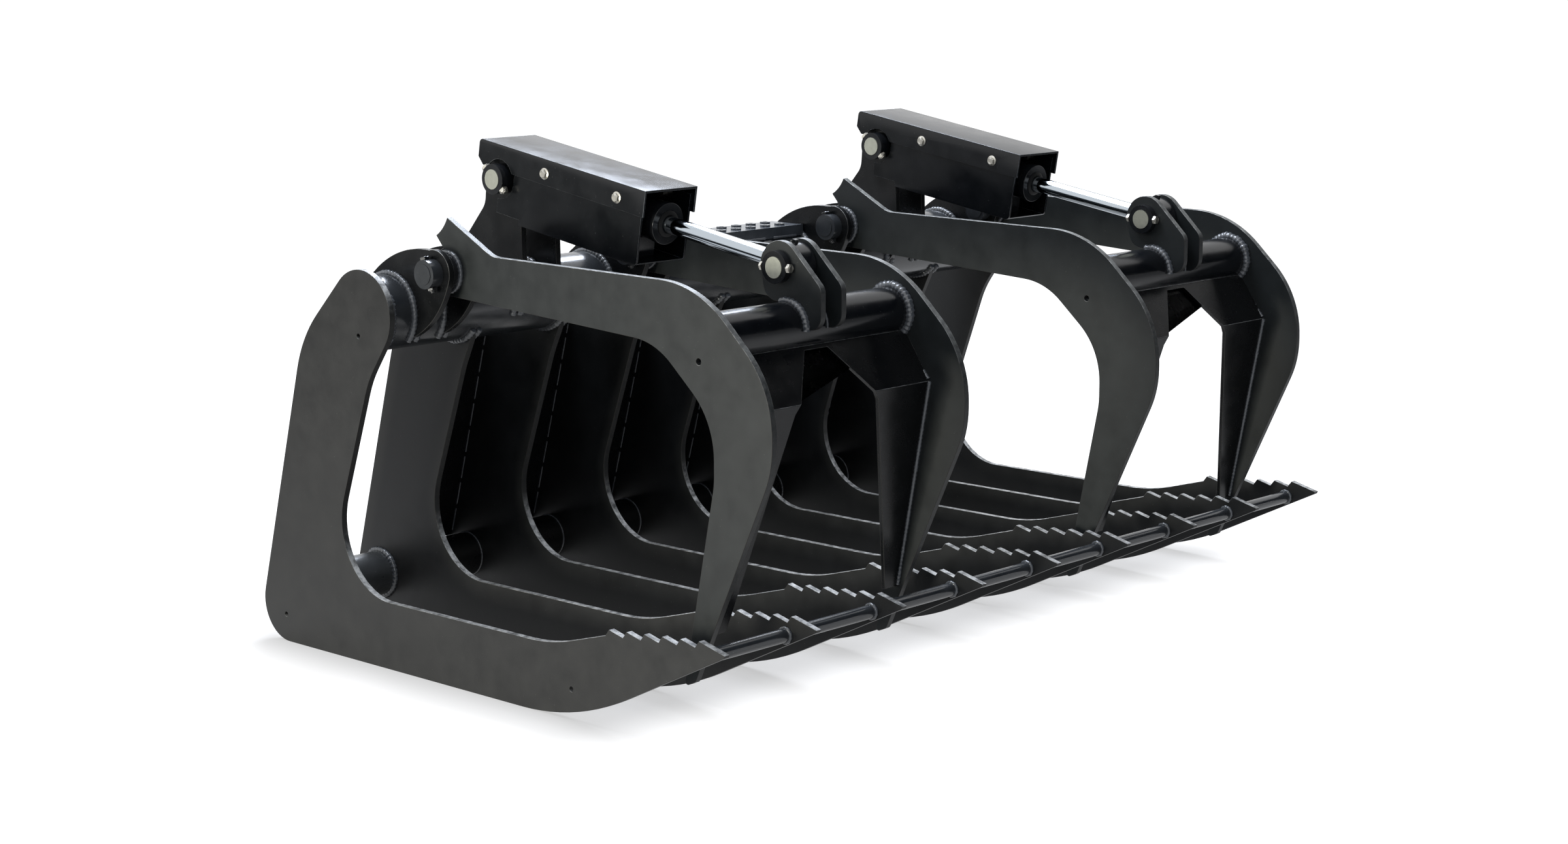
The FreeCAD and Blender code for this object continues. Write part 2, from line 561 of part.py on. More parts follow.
# Towers that carry the cylinders' base pins
def tower_steps():
    """Return a tower's outline: round head, waist, flared rear foot and a saddle on the tube."""
    return [
        on_circle("base_back", "base_up", "tower_head", 0),
        ("arc", "tower_head", 1),
        on_circle("base_back", "base_up", "tower_head", 90),
        ("arc", "tower_head", 1),
        on_circle("base_back", "base_up", "tower_head", "(180 deg + asin(0.25))"),
        ("tower_front", "base_up - tower_head", "tower_round"),
        ("tower_front - 5", "tube_up + 10", "tower_round / 2"),
        on_circle("tube_back", "tube_up", SADDLE, 200),
        ("arc", SADDLE, -1),
        on_circle("tube_back", "tube_up", SADDLE, 90),
        ("arc", SADDLE, -1),
        on_circle("tube_back", "tube_up", SADDLE, 5),
        ("tower_foot", "tube_up + tube_od / 10", "tower_round / 8"),
        ("tower_foot", "tower_foot_up", "tower_round / 2"),
        ("tower_waist", "tower_waist_up", "tower_round"),
        ("tower_waist - 2", "base_up - tower_head / 2"),
    ]


BASE_HOLE = ("base_back", "base_up", "pin_od + 2 * pin_play")
BASE_COLLAR = "(tower_gap / 2 + tower_plate + base_collar_long / 2)"
towers, base_pins, base_collars, base_bolts = [], [], [], []
for centre in CENTRES.values():
    for sign in (-1, 1):
        towers.append(plate("Tower", tower_steps(), "tower_plate",
                            f"{centre} + {sign} * (tower_gap + tower_plate) / 2", [BASE_HOLE]))
    spot = (f"{centre} - {BASE_COLLAR} - base_collar_long / 2 + base_bolt_inset", "base_back", "base_up")
    pin = rod_along_x("BasePin", centre, "base_back", "base_up", "pin_od",
                      f"2 * ({BASE_COLLAR} + base_collar_long / 2 + pin_proud)")
    base_pins.append(cut(pin, bolt_hole(*spot, "collar_od", -50)))
    for sign in (-1, 1):
        ring = rod_along_x("Collar", f"{centre} + {sign} * {BASE_COLLAR}", "base_back", "base_up",
                           "collar_od", "base_collar_long")
        bore = rod_along_x("Bore", f"{centre} + {sign} * {BASE_COLLAR}", "base_back", "base_up",
                           "pin_od + 2 * pin_play", "2 * base_collar_long")
        ring = cut(ring, bore)
        if sign == -1:
            ring = cut(ring, bolt_hole(*spot, "collar_od", -50))
        base_collars.append(ring)
    base_bolts.append(cross_bolt(*spot, "collar_od", -50))
gathered("cylinder_towers", towers)
gathered("base_pins", base_pins)
gathered("base_pin_collars", base_collars)
gathered("base_pin_bolts", base_bolts)

# Step tread on the main tube, between the inner ears of the two grapples
TREAD_LONG = f"(2 * ({INNER_ARM} - ear_gap / 2 - ear_plate - tread_gap))"
TREAD_FOOT = "(tube_up + sqrt((tube_od / 2)^2 - (tread_wide / 2 - tread_plate)^2) + weld_gap)"
tread = new_body("Tread")
half, inner = "tread_wide / 2", "(tread_wide / 2 - tread_plate)"
pad(tread, draw(tread, [
    (f"tube_back + {half}", TREAD_FOOT), (f"tube_back + {half}", "tread_up"),
    (f"tube_back - {half}", "tread_up"), (f"tube_back - {half}", TREAD_FOOT),
    (f"tube_back - {inner}", TREAD_FOOT), (f"tube_back - {inner}", "tread_up - tread_plate"),
    (f"tube_back + {inner}", "tread_up - tread_plate"), (f"tube_back + {inner}", TREAD_FOOT)]), TREAD_LONG)
for size, thick, feature in (("button_od", "button_high", "PartDesign::Pad"),
                             ("button_bore", "button_high + 2 * tread_plate", "PartDesign::Pocket")):
    buttons = new_sketch(tread, "XY_Plane")
    top = "tread_up" if feature == "PartDesign::Pad" else "tread_up + button_high"
    buttons.setExpression("AttachmentOffset.Base.z", sized(top))
    for row in (-1, 1):
        for column in range(BUTTONS):
            across = f"({column} - {(BUTTONS - 1) / 2}) * button_pitch"
            add_circle(buttons, across, f"tube_back + {row} * button_row / 2", size)
    shape = tread.newObject(feature, "Buttons")
    shape.Profile = buttons
    shape.setExpression("Length", sized(thick))
node(place(tread), "step_tread")


# Grapple arms: rear tab, pivot boss, beam, arch and claw. The claw's bend keeps clear of the arch's round.
ARCH_TURN = "atan2(arch_bend - arch_front; arch_top - arch_shoulder)"
CLAW_TURN = "atan2(claw_front - arch_front; claw_bend - claw_front_up)"
CLAW_ROOM = f"0.95 * (claw_bend_fall - arch_shoulder_round * tan({ARCH_TURN} / 2))"
CLAW_ROUND = f"min(claw_round; {CLAW_ROOM} / tan({CLAW_TURN} / 2))"
ARM = [
    on_circle("pivot_back", "pivot_up", "boss_round", 266),
    ("arc", "boss_round", 1),
    on_circle("pivot_back", "pivot_up", "boss_round", 0),
    ("arc", "boss_round", 1),
    on_circle("pivot_back", "pivot_up", "boss_round", 73),
    ("tab_low_back", "tab_low_up"),
    ("arc", "tab_hollow", -1),
    ("tab_top_back", "tab_top_up"),
    ("valley_front", "valley_up", "valley_round"),
    ("arch_bend", "arch_top", "arch_bend_round"),
    ("arch_front", "arch_shoulder", "arch_shoulder_round"),
    ("arch_front", "claw_bend", CLAW_ROUND),
    ("claw_front", "claw_front_up", "claw_end_round"),
    ("claw_tip", "claw_tip_up", "claw_end_round * 0.6"),
    ("claw_inner", "claw_inner_up", "claw_inner_round"),
    ("claw_inner", "inner_shoulder", "inner_round"),
    ("inner_bend", "inner_bend_up", "inner_round"),
]
HUB_LONG = "(ear_gap - 2 * hub_play)"
for name, (side, across) in PIVOTS.items():
    circles = [("pivot_back", "pivot_up", "hub_od + 2 * weld_gap"),
               ("arm_hole_front", "arm_hole_up", "arm_hole")]
    node(plate("Arm", ARM, "arm_plate", across, circles), f"arm_{name}")


def rod_ear_steps():
    """Return a rod ear's outline: round top, wide nose and a saddle on the cross tube."""
    grip = "(cross_od / 2 + weld_gap)"
    low = "asin(-rod_ear_foot_fall / (cross_od / 2 + weld_gap))"
    high = "asin(rod_ear_back_rise / (cross_od / 2 + weld_gap))"
    return [
        on_circle("rod_pin_front", "rod_pin_up", "rod_ear_round", 0),
        ("arc", "rod_ear_round", 1),
        on_circle("rod_pin_front", "rod_pin_up", "rod_ear_round", 136),
        ("rod_ear_front", "rod_ear_nose_up", "rod_ear_round / 2"),
        ("rod_ear_front", "rod_ear_foot_up"),
        on_circle("cross_front", "cross_up", grip, f"(180 deg - {low})"),
        ("arc", grip, -1),
        on_circle("cross_front", "cross_up", grip, high),
        ("rod_ear_back", "rod_ear_back_up"),
    ]


# Moving pieces of each grapple
ROD_COLLAR = "(rod_ear_gap / 2 + rod_ear_plate + rod_collar_long / 2)"
for side, centre in CENTRES.items():
    hubs = []
    for owner, across in PIVOTS.values():
        if owner == side:
            circles = [("pivot_back", "pivot_up", "hub_od"), PIN_HOLE]
            hubs.append(plate("Hub", [], HUB_LONG, across, circles))
    gathered(f"pivot_hubs_{side}", hubs)
    tube(f"cross_tube_{side}", "cross_front", "cross_up", "cross_od", "cross_wall", INSIDE, centre)
    web = new_body("Web")
    turn = "web_plate / cos(web_slope)"
    run = "(web_bend_up - web_end_up) * tan(web_slope)"
    pad(web, draw(web, [
        ("web_start - weld_gap", "web_start_up - weld_gap"), ("web_bend", "web_bend_up"),
        (f"web_bend + {run}", "web_end_up"), (f"web_bend + {run} + {turn}", "web_end_up"),
        (f"web_bend + {turn}", "web_bend_up - web_plate / 4"),
        ("web_start - weld_gap + web_plate / 2", "web_start_up - weld_gap - web_plate * 0.87")]), INSIDE)
    notch = [("-notch_top", NOTCH_TOP_UP), ("-notch_bend", "web_bend_up"),
             ("-notch_low", "web_bend_up - notch_low_drop"), ("-notch_end", "web_end_up"),
             ("-notch_end", "web_end_up - web_plate"), ("notch_end", "web_end_up - web_plate"),
             ("notch_end", "web_end_up"), ("notch_low", "web_bend_up - notch_low_drop"),
             ("notch_bend", "web_bend_up"), ("notch_top", NOTCH_TOP_UP)]
    pocket(web, draw(web, notch, role="XZ_Plane"), "-8 * web_bend")
    node(place(web, centre), f"web_{side}")
    rod_hole = ("rod_pin_front", "rod_pin_up", "pin_od + 2 * pin_play")
    rod_ears = [plate("RodEar", rod_ear_steps(), "rod_ear_plate",
                      f"{centre} + {sign} * (rod_ear_gap + rod_ear_plate) / 2", [rod_hole]) for sign in (-1, 1)]
    gathered(f"rod_ears_{side}", rod_ears)
    spot = (f"{centre} - {ROD_COLLAR} - rod_collar_long / 2 + rod_bolt_inset", "rod_pin_front", "rod_pin_up")
    pin = rod_along_x("RodPin", centre, "rod_pin_front", "rod_pin_up", "pin_od",
                      f"2 * ({ROD_COLLAR} + rod_collar_long / 2 + pin_proud)")
    node(cut(pin, bolt_hole(*spot, "collar_od", 90, "rod_bolt")), f"rod_pin_{side}")
    rings = []
    for sign in (-1, 1):
        ring = rod_along_x("Collar", f"{centre} + {sign} * {ROD_COLLAR}", "rod_pin_front", "rod_pin_up",
                           "collar_od", "rod_collar_long")
        bore = rod_along_x("Bore", f"{centre} + {sign} * {ROD_COLLAR}", "rod_pin_front", "rod_pin_up",
                           "pin_od + 2 * pin_play", "2 * rod_collar_long")
        ring = cut(ring, bore)
        if sign == -1:
            ring = cut(ring, bolt_hole(*spot, "collar_od", 90, "rod_bolt"))
        rings.append(ring)
    gathered(f"rod_collars_{side}", rings)
    node(cross_bolt(*spot, "collar_od", 90, "rod_bolt"), f"rod_pin_bolt_{side}")

# Hydraulic cylinders with their guards. Each is drawn along -Y from its base pin, then tilted.
for side, centre in CENTRES.items():
    line = {"across": centre, "back": "base_back", "up": "base_up", "tilt": TILT}
    barrel = new_body("Barrel")
    turned(barrel, [("-barrel_start", "0"), ("-barrel_start", "barrel_od / 2"),
                    ("-barrel_end", "barrel_od / 2"), ("-barrel_end", "barrel_bore / 2"),
                    ("-barrel_start - barrel_cap", "barrel_bore / 2"), ("-barrel_start - barrel_cap", "0")])
    lugs = new_sketch(barrel, "YZ_Plane")
    for lug in ("lug_first", "lug_last"):
        add_outline(lugs, [(f"-{lug} - lug_long / 2", "guard_foot + guard_plate"),
                           (f"-{lug} + lug_long / 2", "guard_foot + guard_plate"),
                           (f"-{lug} + lug_long / 2", "-(barrel_od + barrel_bore) / 4"),
                           (f"-{lug} - lug_long / 2", "-(barrel_od + barrel_bore) / 4")])
    pad(barrel, lugs, "lug_wide")
    bore = draw(barrel, [], [("0", "0", "barrel_bore")], role="XZ_Plane")
    drill = barrel.newObject("PartDesign::Pocket", "Bore")
    drill.Profile = bore
    drill.setExpression("Length", sized("barrel_end"))
    drill.Reversed = False
    node(place(barrel, **line), f"barrel_{side}")
    eye = new_body("BaseEye")
    pad(eye, draw(eye, [("-barrel_start", "-base_neck_high / 2"), ("0", "-base_neck_high / 2"),
                        ("0", "base_neck_high / 2"), ("-barrel_start", "base_neck_high / 2")]),
        "base_eye_wide * 0.7")
    pad(eye, draw(eye, [], [("0", "0", "2 * base_eye_round")]), "base_eye_wide")
    pocket(eye, draw(eye, [], [("0", "0", "pin_od + 2 * pin_play")]), "2 * base_eye_wide")
    node(place(eye, **line), f"base_eye_{side}")
    gland = new_body("Gland")
    turned(gland, [("-barrel_end", "barrel_bore / 2 - slide_play"), ("-barrel_end", "gland_od / 2"),
                   ("-gland_end", "gland_od / 2"), ("-gland_end", "rod_od / 2 + slide_play"),
                   ("-barrel_end + gland_plug", "rod_od / 2 + slide_play"),
                   ("-barrel_end + gland_plug", "barrel_bore / 2 - slide_play")])
    node(place(gland, **line), f"gland_{side}")
    rod = new_body("Rod")
    piston_front = "(-barrel_end + gland_plug + piston_stop)"
    rod_end = f"(-({REACH}) + rod_eye_round + rod_socket_long)"
    turned(rod, [(f"{piston_front} + piston_long", "0"),
                 (f"{piston_front} + piston_long", "barrel_bore / 2 - slide_play"),
                 (piston_front, "barrel_bore / 2 - slide_play"), (piston_front, "rod_od / 2"),
                 (rod_end, "rod_od / 2"), (rod_end, "0")])
    node(place(rod, **line), f"cylinder_rod_{side}")
    rod_eye = new_body("RodEye")
    turned(rod_eye, [(rod_end, "0"), (rod_end, "rod_socket_od / 2"), (f"-({REACH})", "rod_socket_od / 2"),
                     (f"-({REACH})", "0")])
    pad(rod_eye, draw(rod_eye, [], [(f"-({REACH})", "0", "2 * rod_eye_round")]), "rod_eye_wide")
    zerk = [(f"-({REACH}) + grease_od / 2", "rod_eye_round - 1"),
            (f"-({REACH}) + grease_od / 2", "rod_eye_round + grease_high"),
            (f"-({REACH}) - grease_od / 2", "rod_eye_round + grease_high"),
            (f"-({REACH}) - grease_od / 2", "rod_eye_round - 1")]
    pad(rod_eye, draw(rod_eye, zerk), "grease_od")
    pocket(rod_eye, draw(rod_eye, [], [(f"-({REACH})", "0", "pin_od + 2 * rod_eye_play")]), "2 * rod_eye_wide")
    node(place(rod_eye, **line), f"rod_eye_{side}")
    guard = new_body("Guard")
    pad(guard, draw(guard, [
        ("-guard_rear", "guard_step"), ("-guard_rear", "-sqrt(guard_notch^2 - guard_rear^2)"),
        ("arc", "guard_notch", -1),
        ("-guard_notch", "0"), ("-guard_notch", "guard_top"), ("-guard_end", "guard_top"),
        ("-guard_end", "guard_foot", "guard_bend"), ("-guard_step_end", "guard_foot"),
        ("-guard_step_end", "guard_step")]), "guard_wide")
    hollow = [("guard_notch", "guard_foot + guard_plate"), ("guard_notch", "2 * guard_top"),
              ("-2 * guard_end", "2 * guard_top"), ("-2 * guard_end", "guard_foot + guard_plate")]
    pocket(guard, draw(guard, hollow), "guard_wide - 2 * guard_plate")
    bolt_spots = [(f"-{spot}", "cover_bolt_up", "cover_bolt_od + 2 * cross_bolt_play")
                  for spot in ("cover_bolt_first", "cover_bolt_last")]
    pocket(guard, draw(guard, [], bolt_spots), "2 * guard_wide")
    node(place(guard, **line), f"cylinder_guard_{side}")
    cover = new_body("Cover")
    cover_wide = "(guard_wide + 2 * cover_gap + 2 * cover_plate)"
    pad(cover, draw(cover, [
        ("cover_rear", "cover_rear_low"), ("cover_rear", "cover_top", "cover_bend"),
        ("-cover_end", "cover_top"), ("-cover_end", "cover_seam"),
        ("-sqrt(guard_notch^2 - cover_seam^2)", "cover_seam"), ("arc", "guard_notch", -1),
        ("sqrt(guard_notch^2 - cover_seam^2)", "cover_seam"), ("cover_rear * 0.76", "cover_seam")]), cover_wide)
    hollow = [("2 * cover_rear", "-cover_top"), ("2 * cover_rear", "cover_top - cover_plate"),
              ("-2 * cover_end", "cover_top - cover_plate"), ("-2 * cover_end", "-cover_top")]
    pocket(cover, draw(cover, hollow), f"{cover_wide} - 2 * cover_plate")
    pocket(cover, draw(cover, [], bolt_spots), "2 * guard_wide")
    node(place(cover, **line), f"guard_cover_{side}")
    bolts = []
    for spot in ("cover_bolt_first", "cover_bolt_last"):
        for sign in (-1, 1):
            bolt = new_body("CoverBolt")
            face = f"({cover_wide} / 2)"
            profile = [("0", "0"), ("0", "cover_bolt_od / 2"), ("cover_bolt_long", "cover_bolt_od / 2"),
                       ("cover_bolt_long", "cover_bolt_flange / 2"),
                       ("cover_bolt_long + cover_bolt_head_high / 4", "cover_bolt_flange / 2"),
                       ("cover_bolt_long + cover_bolt_head_high / 4", "cover_bolt_head / 2"),
                       ("cover_bolt_long + cover_bolt_head_high", "cover_bolt_head / 2"),
                       ("cover_bolt_long + cover_bolt_head_high", "0")]
            turned(bolt, profile)
            turn = FreeCAD.Rotation(V(0, 0, 1), -90 * sign)
            bolt.Placement.Rotation = FreeCAD.Rotation(V(1, 0, 0), number(TILT)).multiply(turn)
            bolt.setExpression("Placement.Base.x", sized(f"{centre} + {sign} * ({face} - cover_bolt_long)"))
            along = f"-{spot} * cos({TILT}) - cover_bolt_up * sin({TILT})"
            rise = f"-{spot} * sin({TILT}) + cover_bolt_up * cos({TILT})"
            bolt.setExpression("Placement.Base.y", sized(f"base_back + {along} - {MID_DEPTH}"))
            bolt.setExpression("Placement.Base.z", sized(f"base_up + {rise}"))
            bolts.append(bolt)
    gathered(f"cover_bolts_{side}", bolts)

doc.recompute()
for item in doc.Objects:
    if "Invalid" in item.State or "Error" in item.State:
        raise RuntimeError(f"{item.Name} ({item.Label}) failed: {item.State}")
for item in NODES:
    if item.Shape.isNull() or not item.Shape.isValid() or not item.Shape.Solids:
        raise RuntimeError(f"{item.Label} has no valid solid")
for item in NODES:
    item.Shape.exportStep(f"parts/{item.Label}.step")
print(len(NODES), "sub-parts written")
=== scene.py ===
"""Looks of a root grapple bucket: finishes, welds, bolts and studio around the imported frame.

Everything is in metres, in the frame of the model: X across the bucket, -Y to the tine tips, Z up.
"""
import logging
import math
from dataclasses import dataclass, field
from enum import Enum
from functools import cache

import bmesh
import bpy
from bmesh.types import BMEdge, BMesh, BMVert
from bpy.types import Material, Node, NodeOutputs, NodeSocket, NodeTree, Object, World
from mathutils import Matrix, Vector


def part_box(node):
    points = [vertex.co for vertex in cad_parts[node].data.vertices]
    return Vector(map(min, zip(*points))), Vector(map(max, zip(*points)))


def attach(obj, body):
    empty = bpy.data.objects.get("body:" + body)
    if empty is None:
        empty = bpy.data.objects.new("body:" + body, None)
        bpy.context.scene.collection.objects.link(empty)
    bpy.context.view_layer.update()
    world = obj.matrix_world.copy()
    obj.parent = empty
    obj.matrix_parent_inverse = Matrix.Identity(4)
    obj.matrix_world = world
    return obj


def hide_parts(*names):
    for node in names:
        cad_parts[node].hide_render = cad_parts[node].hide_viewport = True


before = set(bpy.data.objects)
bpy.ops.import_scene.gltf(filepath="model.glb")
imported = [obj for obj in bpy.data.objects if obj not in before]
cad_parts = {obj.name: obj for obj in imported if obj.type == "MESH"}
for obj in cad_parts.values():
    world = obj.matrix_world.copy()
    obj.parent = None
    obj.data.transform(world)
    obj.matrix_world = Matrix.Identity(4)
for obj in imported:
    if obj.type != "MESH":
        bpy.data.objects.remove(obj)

LOG = logging.getLogger("grapple_bucket")
MM = 0.001
UP = Vector((0, 0, 1))
JOIN = 2e-6  # Vertices nearer than this are one.
FLAT = math.radians(0.4)  # Faces that turn less are one flat face.
SHARP = math.radians(32)  # Edges that turn more are sharp.
FULL_TURN = (0.0, 360.0)
COAT_SLOT = "frame_coating"
BLACK_SLOT = "black_fastener"
ZINC_SLOT = "zinc_fastener"

Triple = tuple[float, float, float]


class Side(Enum):
    """The two grapples."""

    LEFT = "left"
    RIGHT = "right"


class Seal(Enum):
    """Whether a weld seam closes on itself."""

    OPEN = 0
    CLOSED = 1


class Corner(Enum):
    """How far the sharp edges of each kind of part are softened, in millimetres."""

    NONE = 0.0
    FINE = 0.8
    PLATE = 0.9
    TURNED = 1.0
    SHEET = 1.1
    COLLAR = 1.4
    PIN = 1.6


def linear(code: str, share: float = 1.0) -> tuple[float, float, float, float]:
    """Turn an sRGB hex colour to a linear one.

    Args:
        code: The colour, as #RRGGBB.
        share: How much of it to keep, where less than 1 is darker.

    Returns:
        Red, green, blue and alpha.
    """
    parts = [int(code[start:start + 2], 16) / 255 for start in (1, 3, 5)]
    bent = [part / 12.92 if part <= 0.04045 else ((part + 0.055) / 1.055) ** 2.4 for part in parts]
    return (*(part * share for part in bent), 1.0)


def add_node(
    tree: NodeTree, kind: str, inputs: dict[int | str, object] | None = None, **settings: object
) -> Node:
    """Add a node with its settings, and set or link its inputs.

    Args:
        tree: The tree that gets the node.
        kind: The node's type.
        inputs: For each input, by name or place, a constant, the output that it follows, or a node, which
            stands for its first output in use.
        settings: Properties of the node.

    Returns:
        The node.
    """
    node = tree.nodes.new(kind)
    for name, value in settings.items():
        setattr(node, name, value)
    for place, value in (inputs or {}).items():
        if isinstance(value, Node):
            value = next(output for output in value.outputs if output.enabled)
        if isinstance(value, NodeSocket):
            tree.links.new(value, node.inputs[place])
        else:
            node.inputs[place].default_value = value
    return node


def empty_tree(block: Material | World) -> NodeTree:
    """Switch a block's nodes on, and return its tree with nothing in it."""
    block.use_nodes = True
    block.node_tree.nodes.clear()
    return block.node_tree


@dataclass(frozen=True)
class PowderCoat:
    """Semi-gloss black powder coat baked on blasted steel: a soft sheen with fine orange peel.

    Laser-cut plates show it blotched and coarser on their cut edges, where it is thin, and paler where such
    an edge looks up: mostly a painted highlight, broken up by the wear.
    """

    name: str
    colour: str
    roughness: float
    cut_edge: str = ""
    # The colour of the cut edges that look up: a painted highlight.
    top_edge: str = ""
    edge_from: float = 0.85
    edge_full: float = 0.3
    gloss: float = 0.5
    peel_mm: float = 2.4
    peel_high_mm: float = 0.05
    grain_mm: float = 1.6
    blotch_mm: float = 45.0
    wear_mm: float = 14.0
    score_rate: Triple = (60.0, 900.0, 900.0)
    score_high: float = 1.6
    speck_mm: float = 3.0
    speck_share: float = 0.35
    speck_colour: str = "#8C8A84"
    grain_share: float = 0.45
    dark_share: float = 0.82
    pale_share: float = 1.22
    uneven: float = 0.05
    # Painted shade: within this distance of the middle along X the coat turns to the dark shade colour.
    clean_within: float = 0.0
    clean_fade: float = 0.01
    clean_colour: str = "#0E0F0F"

    def build(self) -> Material:
        """Build the material.

        Returns:
            The material.
        """
        material = bpy.data.materials.new(self.name)
        tree = empty_tree(material)
        places = add_node(tree, "ShaderNodeTexCoord")
        blotch, grain, specks, height = (
            add_node(tree, "ShaderNodeTexNoise", {
                "Vector": places.outputs["Object"], "Scale": 1 / (size_mm * MM), "Detail": detail,
                "Roughness": roughness})
            for size_mm, detail, roughness in (
                (self.blotch_mm, 4.0, 0.55), (self.grain_mm, 2.0, 0.6), (self.speck_mm, 1.0, 0.4),
                (self.peel_mm, 1.5, 0.5)))
        mixed = add_node(tree, "ShaderNodeMath", {0: grain, 1: self.grain_share, 2: blotch},
                         operation="MULTIPLY_ADD")
        shade = add_node(tree, "ShaderNodeMapRange", {"Value": mixed, "From Min": 0.45, "From Max": 1.0})
        tint = add_node(tree, "ShaderNodeMix", {
            0: shade, 6: linear(self.colour, self.dark_share), 7: linear(self.colour, self.pale_share)},
            data_type="RGBA")
        dust = add_node(tree, "ShaderNodeMapRange", {
            "Value": specks, "From Min": 0.76, "From Max": 0.84, "To Max": self.speck_share})
        colour = add_node(tree, "ShaderNodeMix", {0: dust, 6: tint, 7: linear(self.speck_colour)},
                          data_type="RGBA")
        if self.cut_edge:
            colour, height = self._dress_edges(tree, places, colour, height)
        if self.clean_within:
            colour = self._clean_middle(tree, places, colour)
        rough = add_node(tree, "ShaderNodeMapRange", {
            "Value": blotch, "From Min": 0.3, "From Max": 0.7, "To Min": self.roughness - self.uneven,
            "To Max": self.roughness + self.uneven})
        bump = add_node(tree, "ShaderNodeBump", {
            "Strength": 0.5, "Distance": self.peel_high_mm * MM, "Height": height})
        shader = add_node(tree, "ShaderNodeBsdfPrincipled", {
            "Base Color": colour, "Roughness": rough, "Specular IOR Level": self.gloss, "Normal": bump})
        add_node(tree, "ShaderNodeOutputMaterial", {"Surface": shader})
        return material

    def _clean_middle(
        self, tree: NodeTree, places: Node, colour: Node
    ) -> Node:
        """Paint shade on the middle of the bucket: the coat turns dark within clean_within of X = 0, where the
        closed bays lie in shadow.

        Args:
            tree: The material's tree.
            places: Its texture coordinates.
            colour: The coat's colour.

        Returns:
            The new colour.
        """
        parts = add_node(tree, "ShaderNodeSeparateXYZ", {0: places.outputs["Object"]})
        across = add_node(tree, "ShaderNodeMath", {0: parts}, operation="ABSOLUTE")
        share = add_node(tree, "ShaderNodeMapRange", {
            "Value": across, "From Min": self.clean_within, "From Max": self.clean_within + self.clean_fade})
        return add_node(tree, "ShaderNodeMix", {0: share, 6: linear(self.clean_colour), 7: colour},
                        data_type="RGBA")

    def _dress_edges(
        self, tree: NodeTree, places: Node, colour: Node, height: Node
    ) -> tuple[Node, Node]:
        """Blotch and score a plate's cut edges, which are all the faces that don't look along X, and paint a
        highlight on the edges that look up.

        Args:
            tree: The material's tree.
            places: Its texture coordinates.
            colour: The coat's colour.
            height: The coat's bump height.

        Returns:
            The new colour and height.
        """
        spot = places.outputs["Object"]
        parts = add_node(tree, "ShaderNodeSeparateXYZ", {0: places.outputs["Normal"]})
        flat = add_node(tree, "ShaderNodeMath", {0: parts}, operation="ABSOLUTE")
        edge = add_node(tree, "ShaderNodeMapRange", {
            "Value": flat, "From Min": self.edge_from, "From Max": self.edge_full})
        scores = add_node(tree, "ShaderNodeMapping", {"Vector": spot, "Scale": self.score_rate})
        score = add_node(tree, "ShaderNodeTexNoise", {
            "Vector": scores, "Scale": 1.0, "Detail": 2.0, "Roughness": 0.6})
        wear = add_node(tree, "ShaderNodeTexNoise", {
            "Vector": spot, "Scale": 1 / (self.wear_mm * MM), "Detail": 5.0, "Roughness": 0.65})
        thin = add_node(tree, "ShaderNodeMapRange", {
            "Value": wear, "From Min": 0.38, "From Max": 0.62, "To Min": 0.15, "To Max": 0.9})
        share = add_node(tree, "ShaderNodeMath", {0: edge, 1: thin}, operation="MULTIPLY")
        # Painted highlight: the edges that look up turn from the cut-edge colour to the pale top-edge one.
        rise = add_node(tree, "ShaderNodeMapRange", {
            "Value": parts.outputs[2], "From Min": 0.1, "From Max": 0.65})
        cut_or_lit_edge = add_node(tree, "ShaderNodeMix", {
            0: rise, 6: linear(self.cut_edge), 7: linear(self.top_edge)}, data_type="RGBA")
        colour = add_node(tree, "ShaderNodeMix", {0: share, 6: colour, 7: cut_or_lit_edge}, data_type="RGBA")
        deep = add_node(tree, "ShaderNodeMath", {0: score, 1: edge}, operation="MULTIPLY")
        height = add_node(tree, "ShaderNodeMath", {0: deep, 1: self.score_high, 2: height},
                          operation="MULTIPLY_ADD")
        return colour, height


@dataclass(frozen=True)
class BareMetal:
    """Plated or polished steel: zinc is pale, slightly warm and cloudy; hard chrome is a clean mirror.

    Fine turned lines show as a faint change of roughness.
    """

    name: str
    colour: str
    roughness: float
    cloud: float = 0.08
    line_mm: float = 0.9
    cloud_mm: float = 9.0

    def build(self) -> Material:
        """Build the material.

        Returns:
            The material.
        """
        material = bpy.data.materials.new(self.name)
        tree = empty_tree(material)
        spot = add_node(tree, "ShaderNodeTexCoord").outputs["Object"]
        cloud = add_node(tree, "ShaderNodeTexNoise", {
            "Vector": spot, "Scale": 1 / (self.cloud_mm * MM), "Detail": 4.0, "Roughness": 0.6})
        tint = add_node(tree, "ShaderNodeMix", {
            0: cloud, 6: linear(self.colour, 1 - 2.5 * self.cloud), 7: linear(self.colour)}, data_type="RGBA")
        fine = add_node(tree, "ShaderNodeTexNoise", {
            "Vector": spot, "Scale": 1 / (self.line_mm * MM), "Detail": 2.0})
        rough = add_node(tree, "ShaderNodeMapRange", {
            "Value": fine, "From Min": 0.3, "From Max": 0.7,
            "To Min": self.roughness * (1 - 2 * self.cloud), "To Max": self.roughness * (1 + 3 * self.cloud)})
        shader = add_node(tree, "ShaderNodeBsdfPrincipled", {
            "Base Color": tint, "Metallic": 1.0, "Roughness": rough})
        add_node(tree, "ShaderNodeOutputMaterial", {"Surface": shader})
        return material


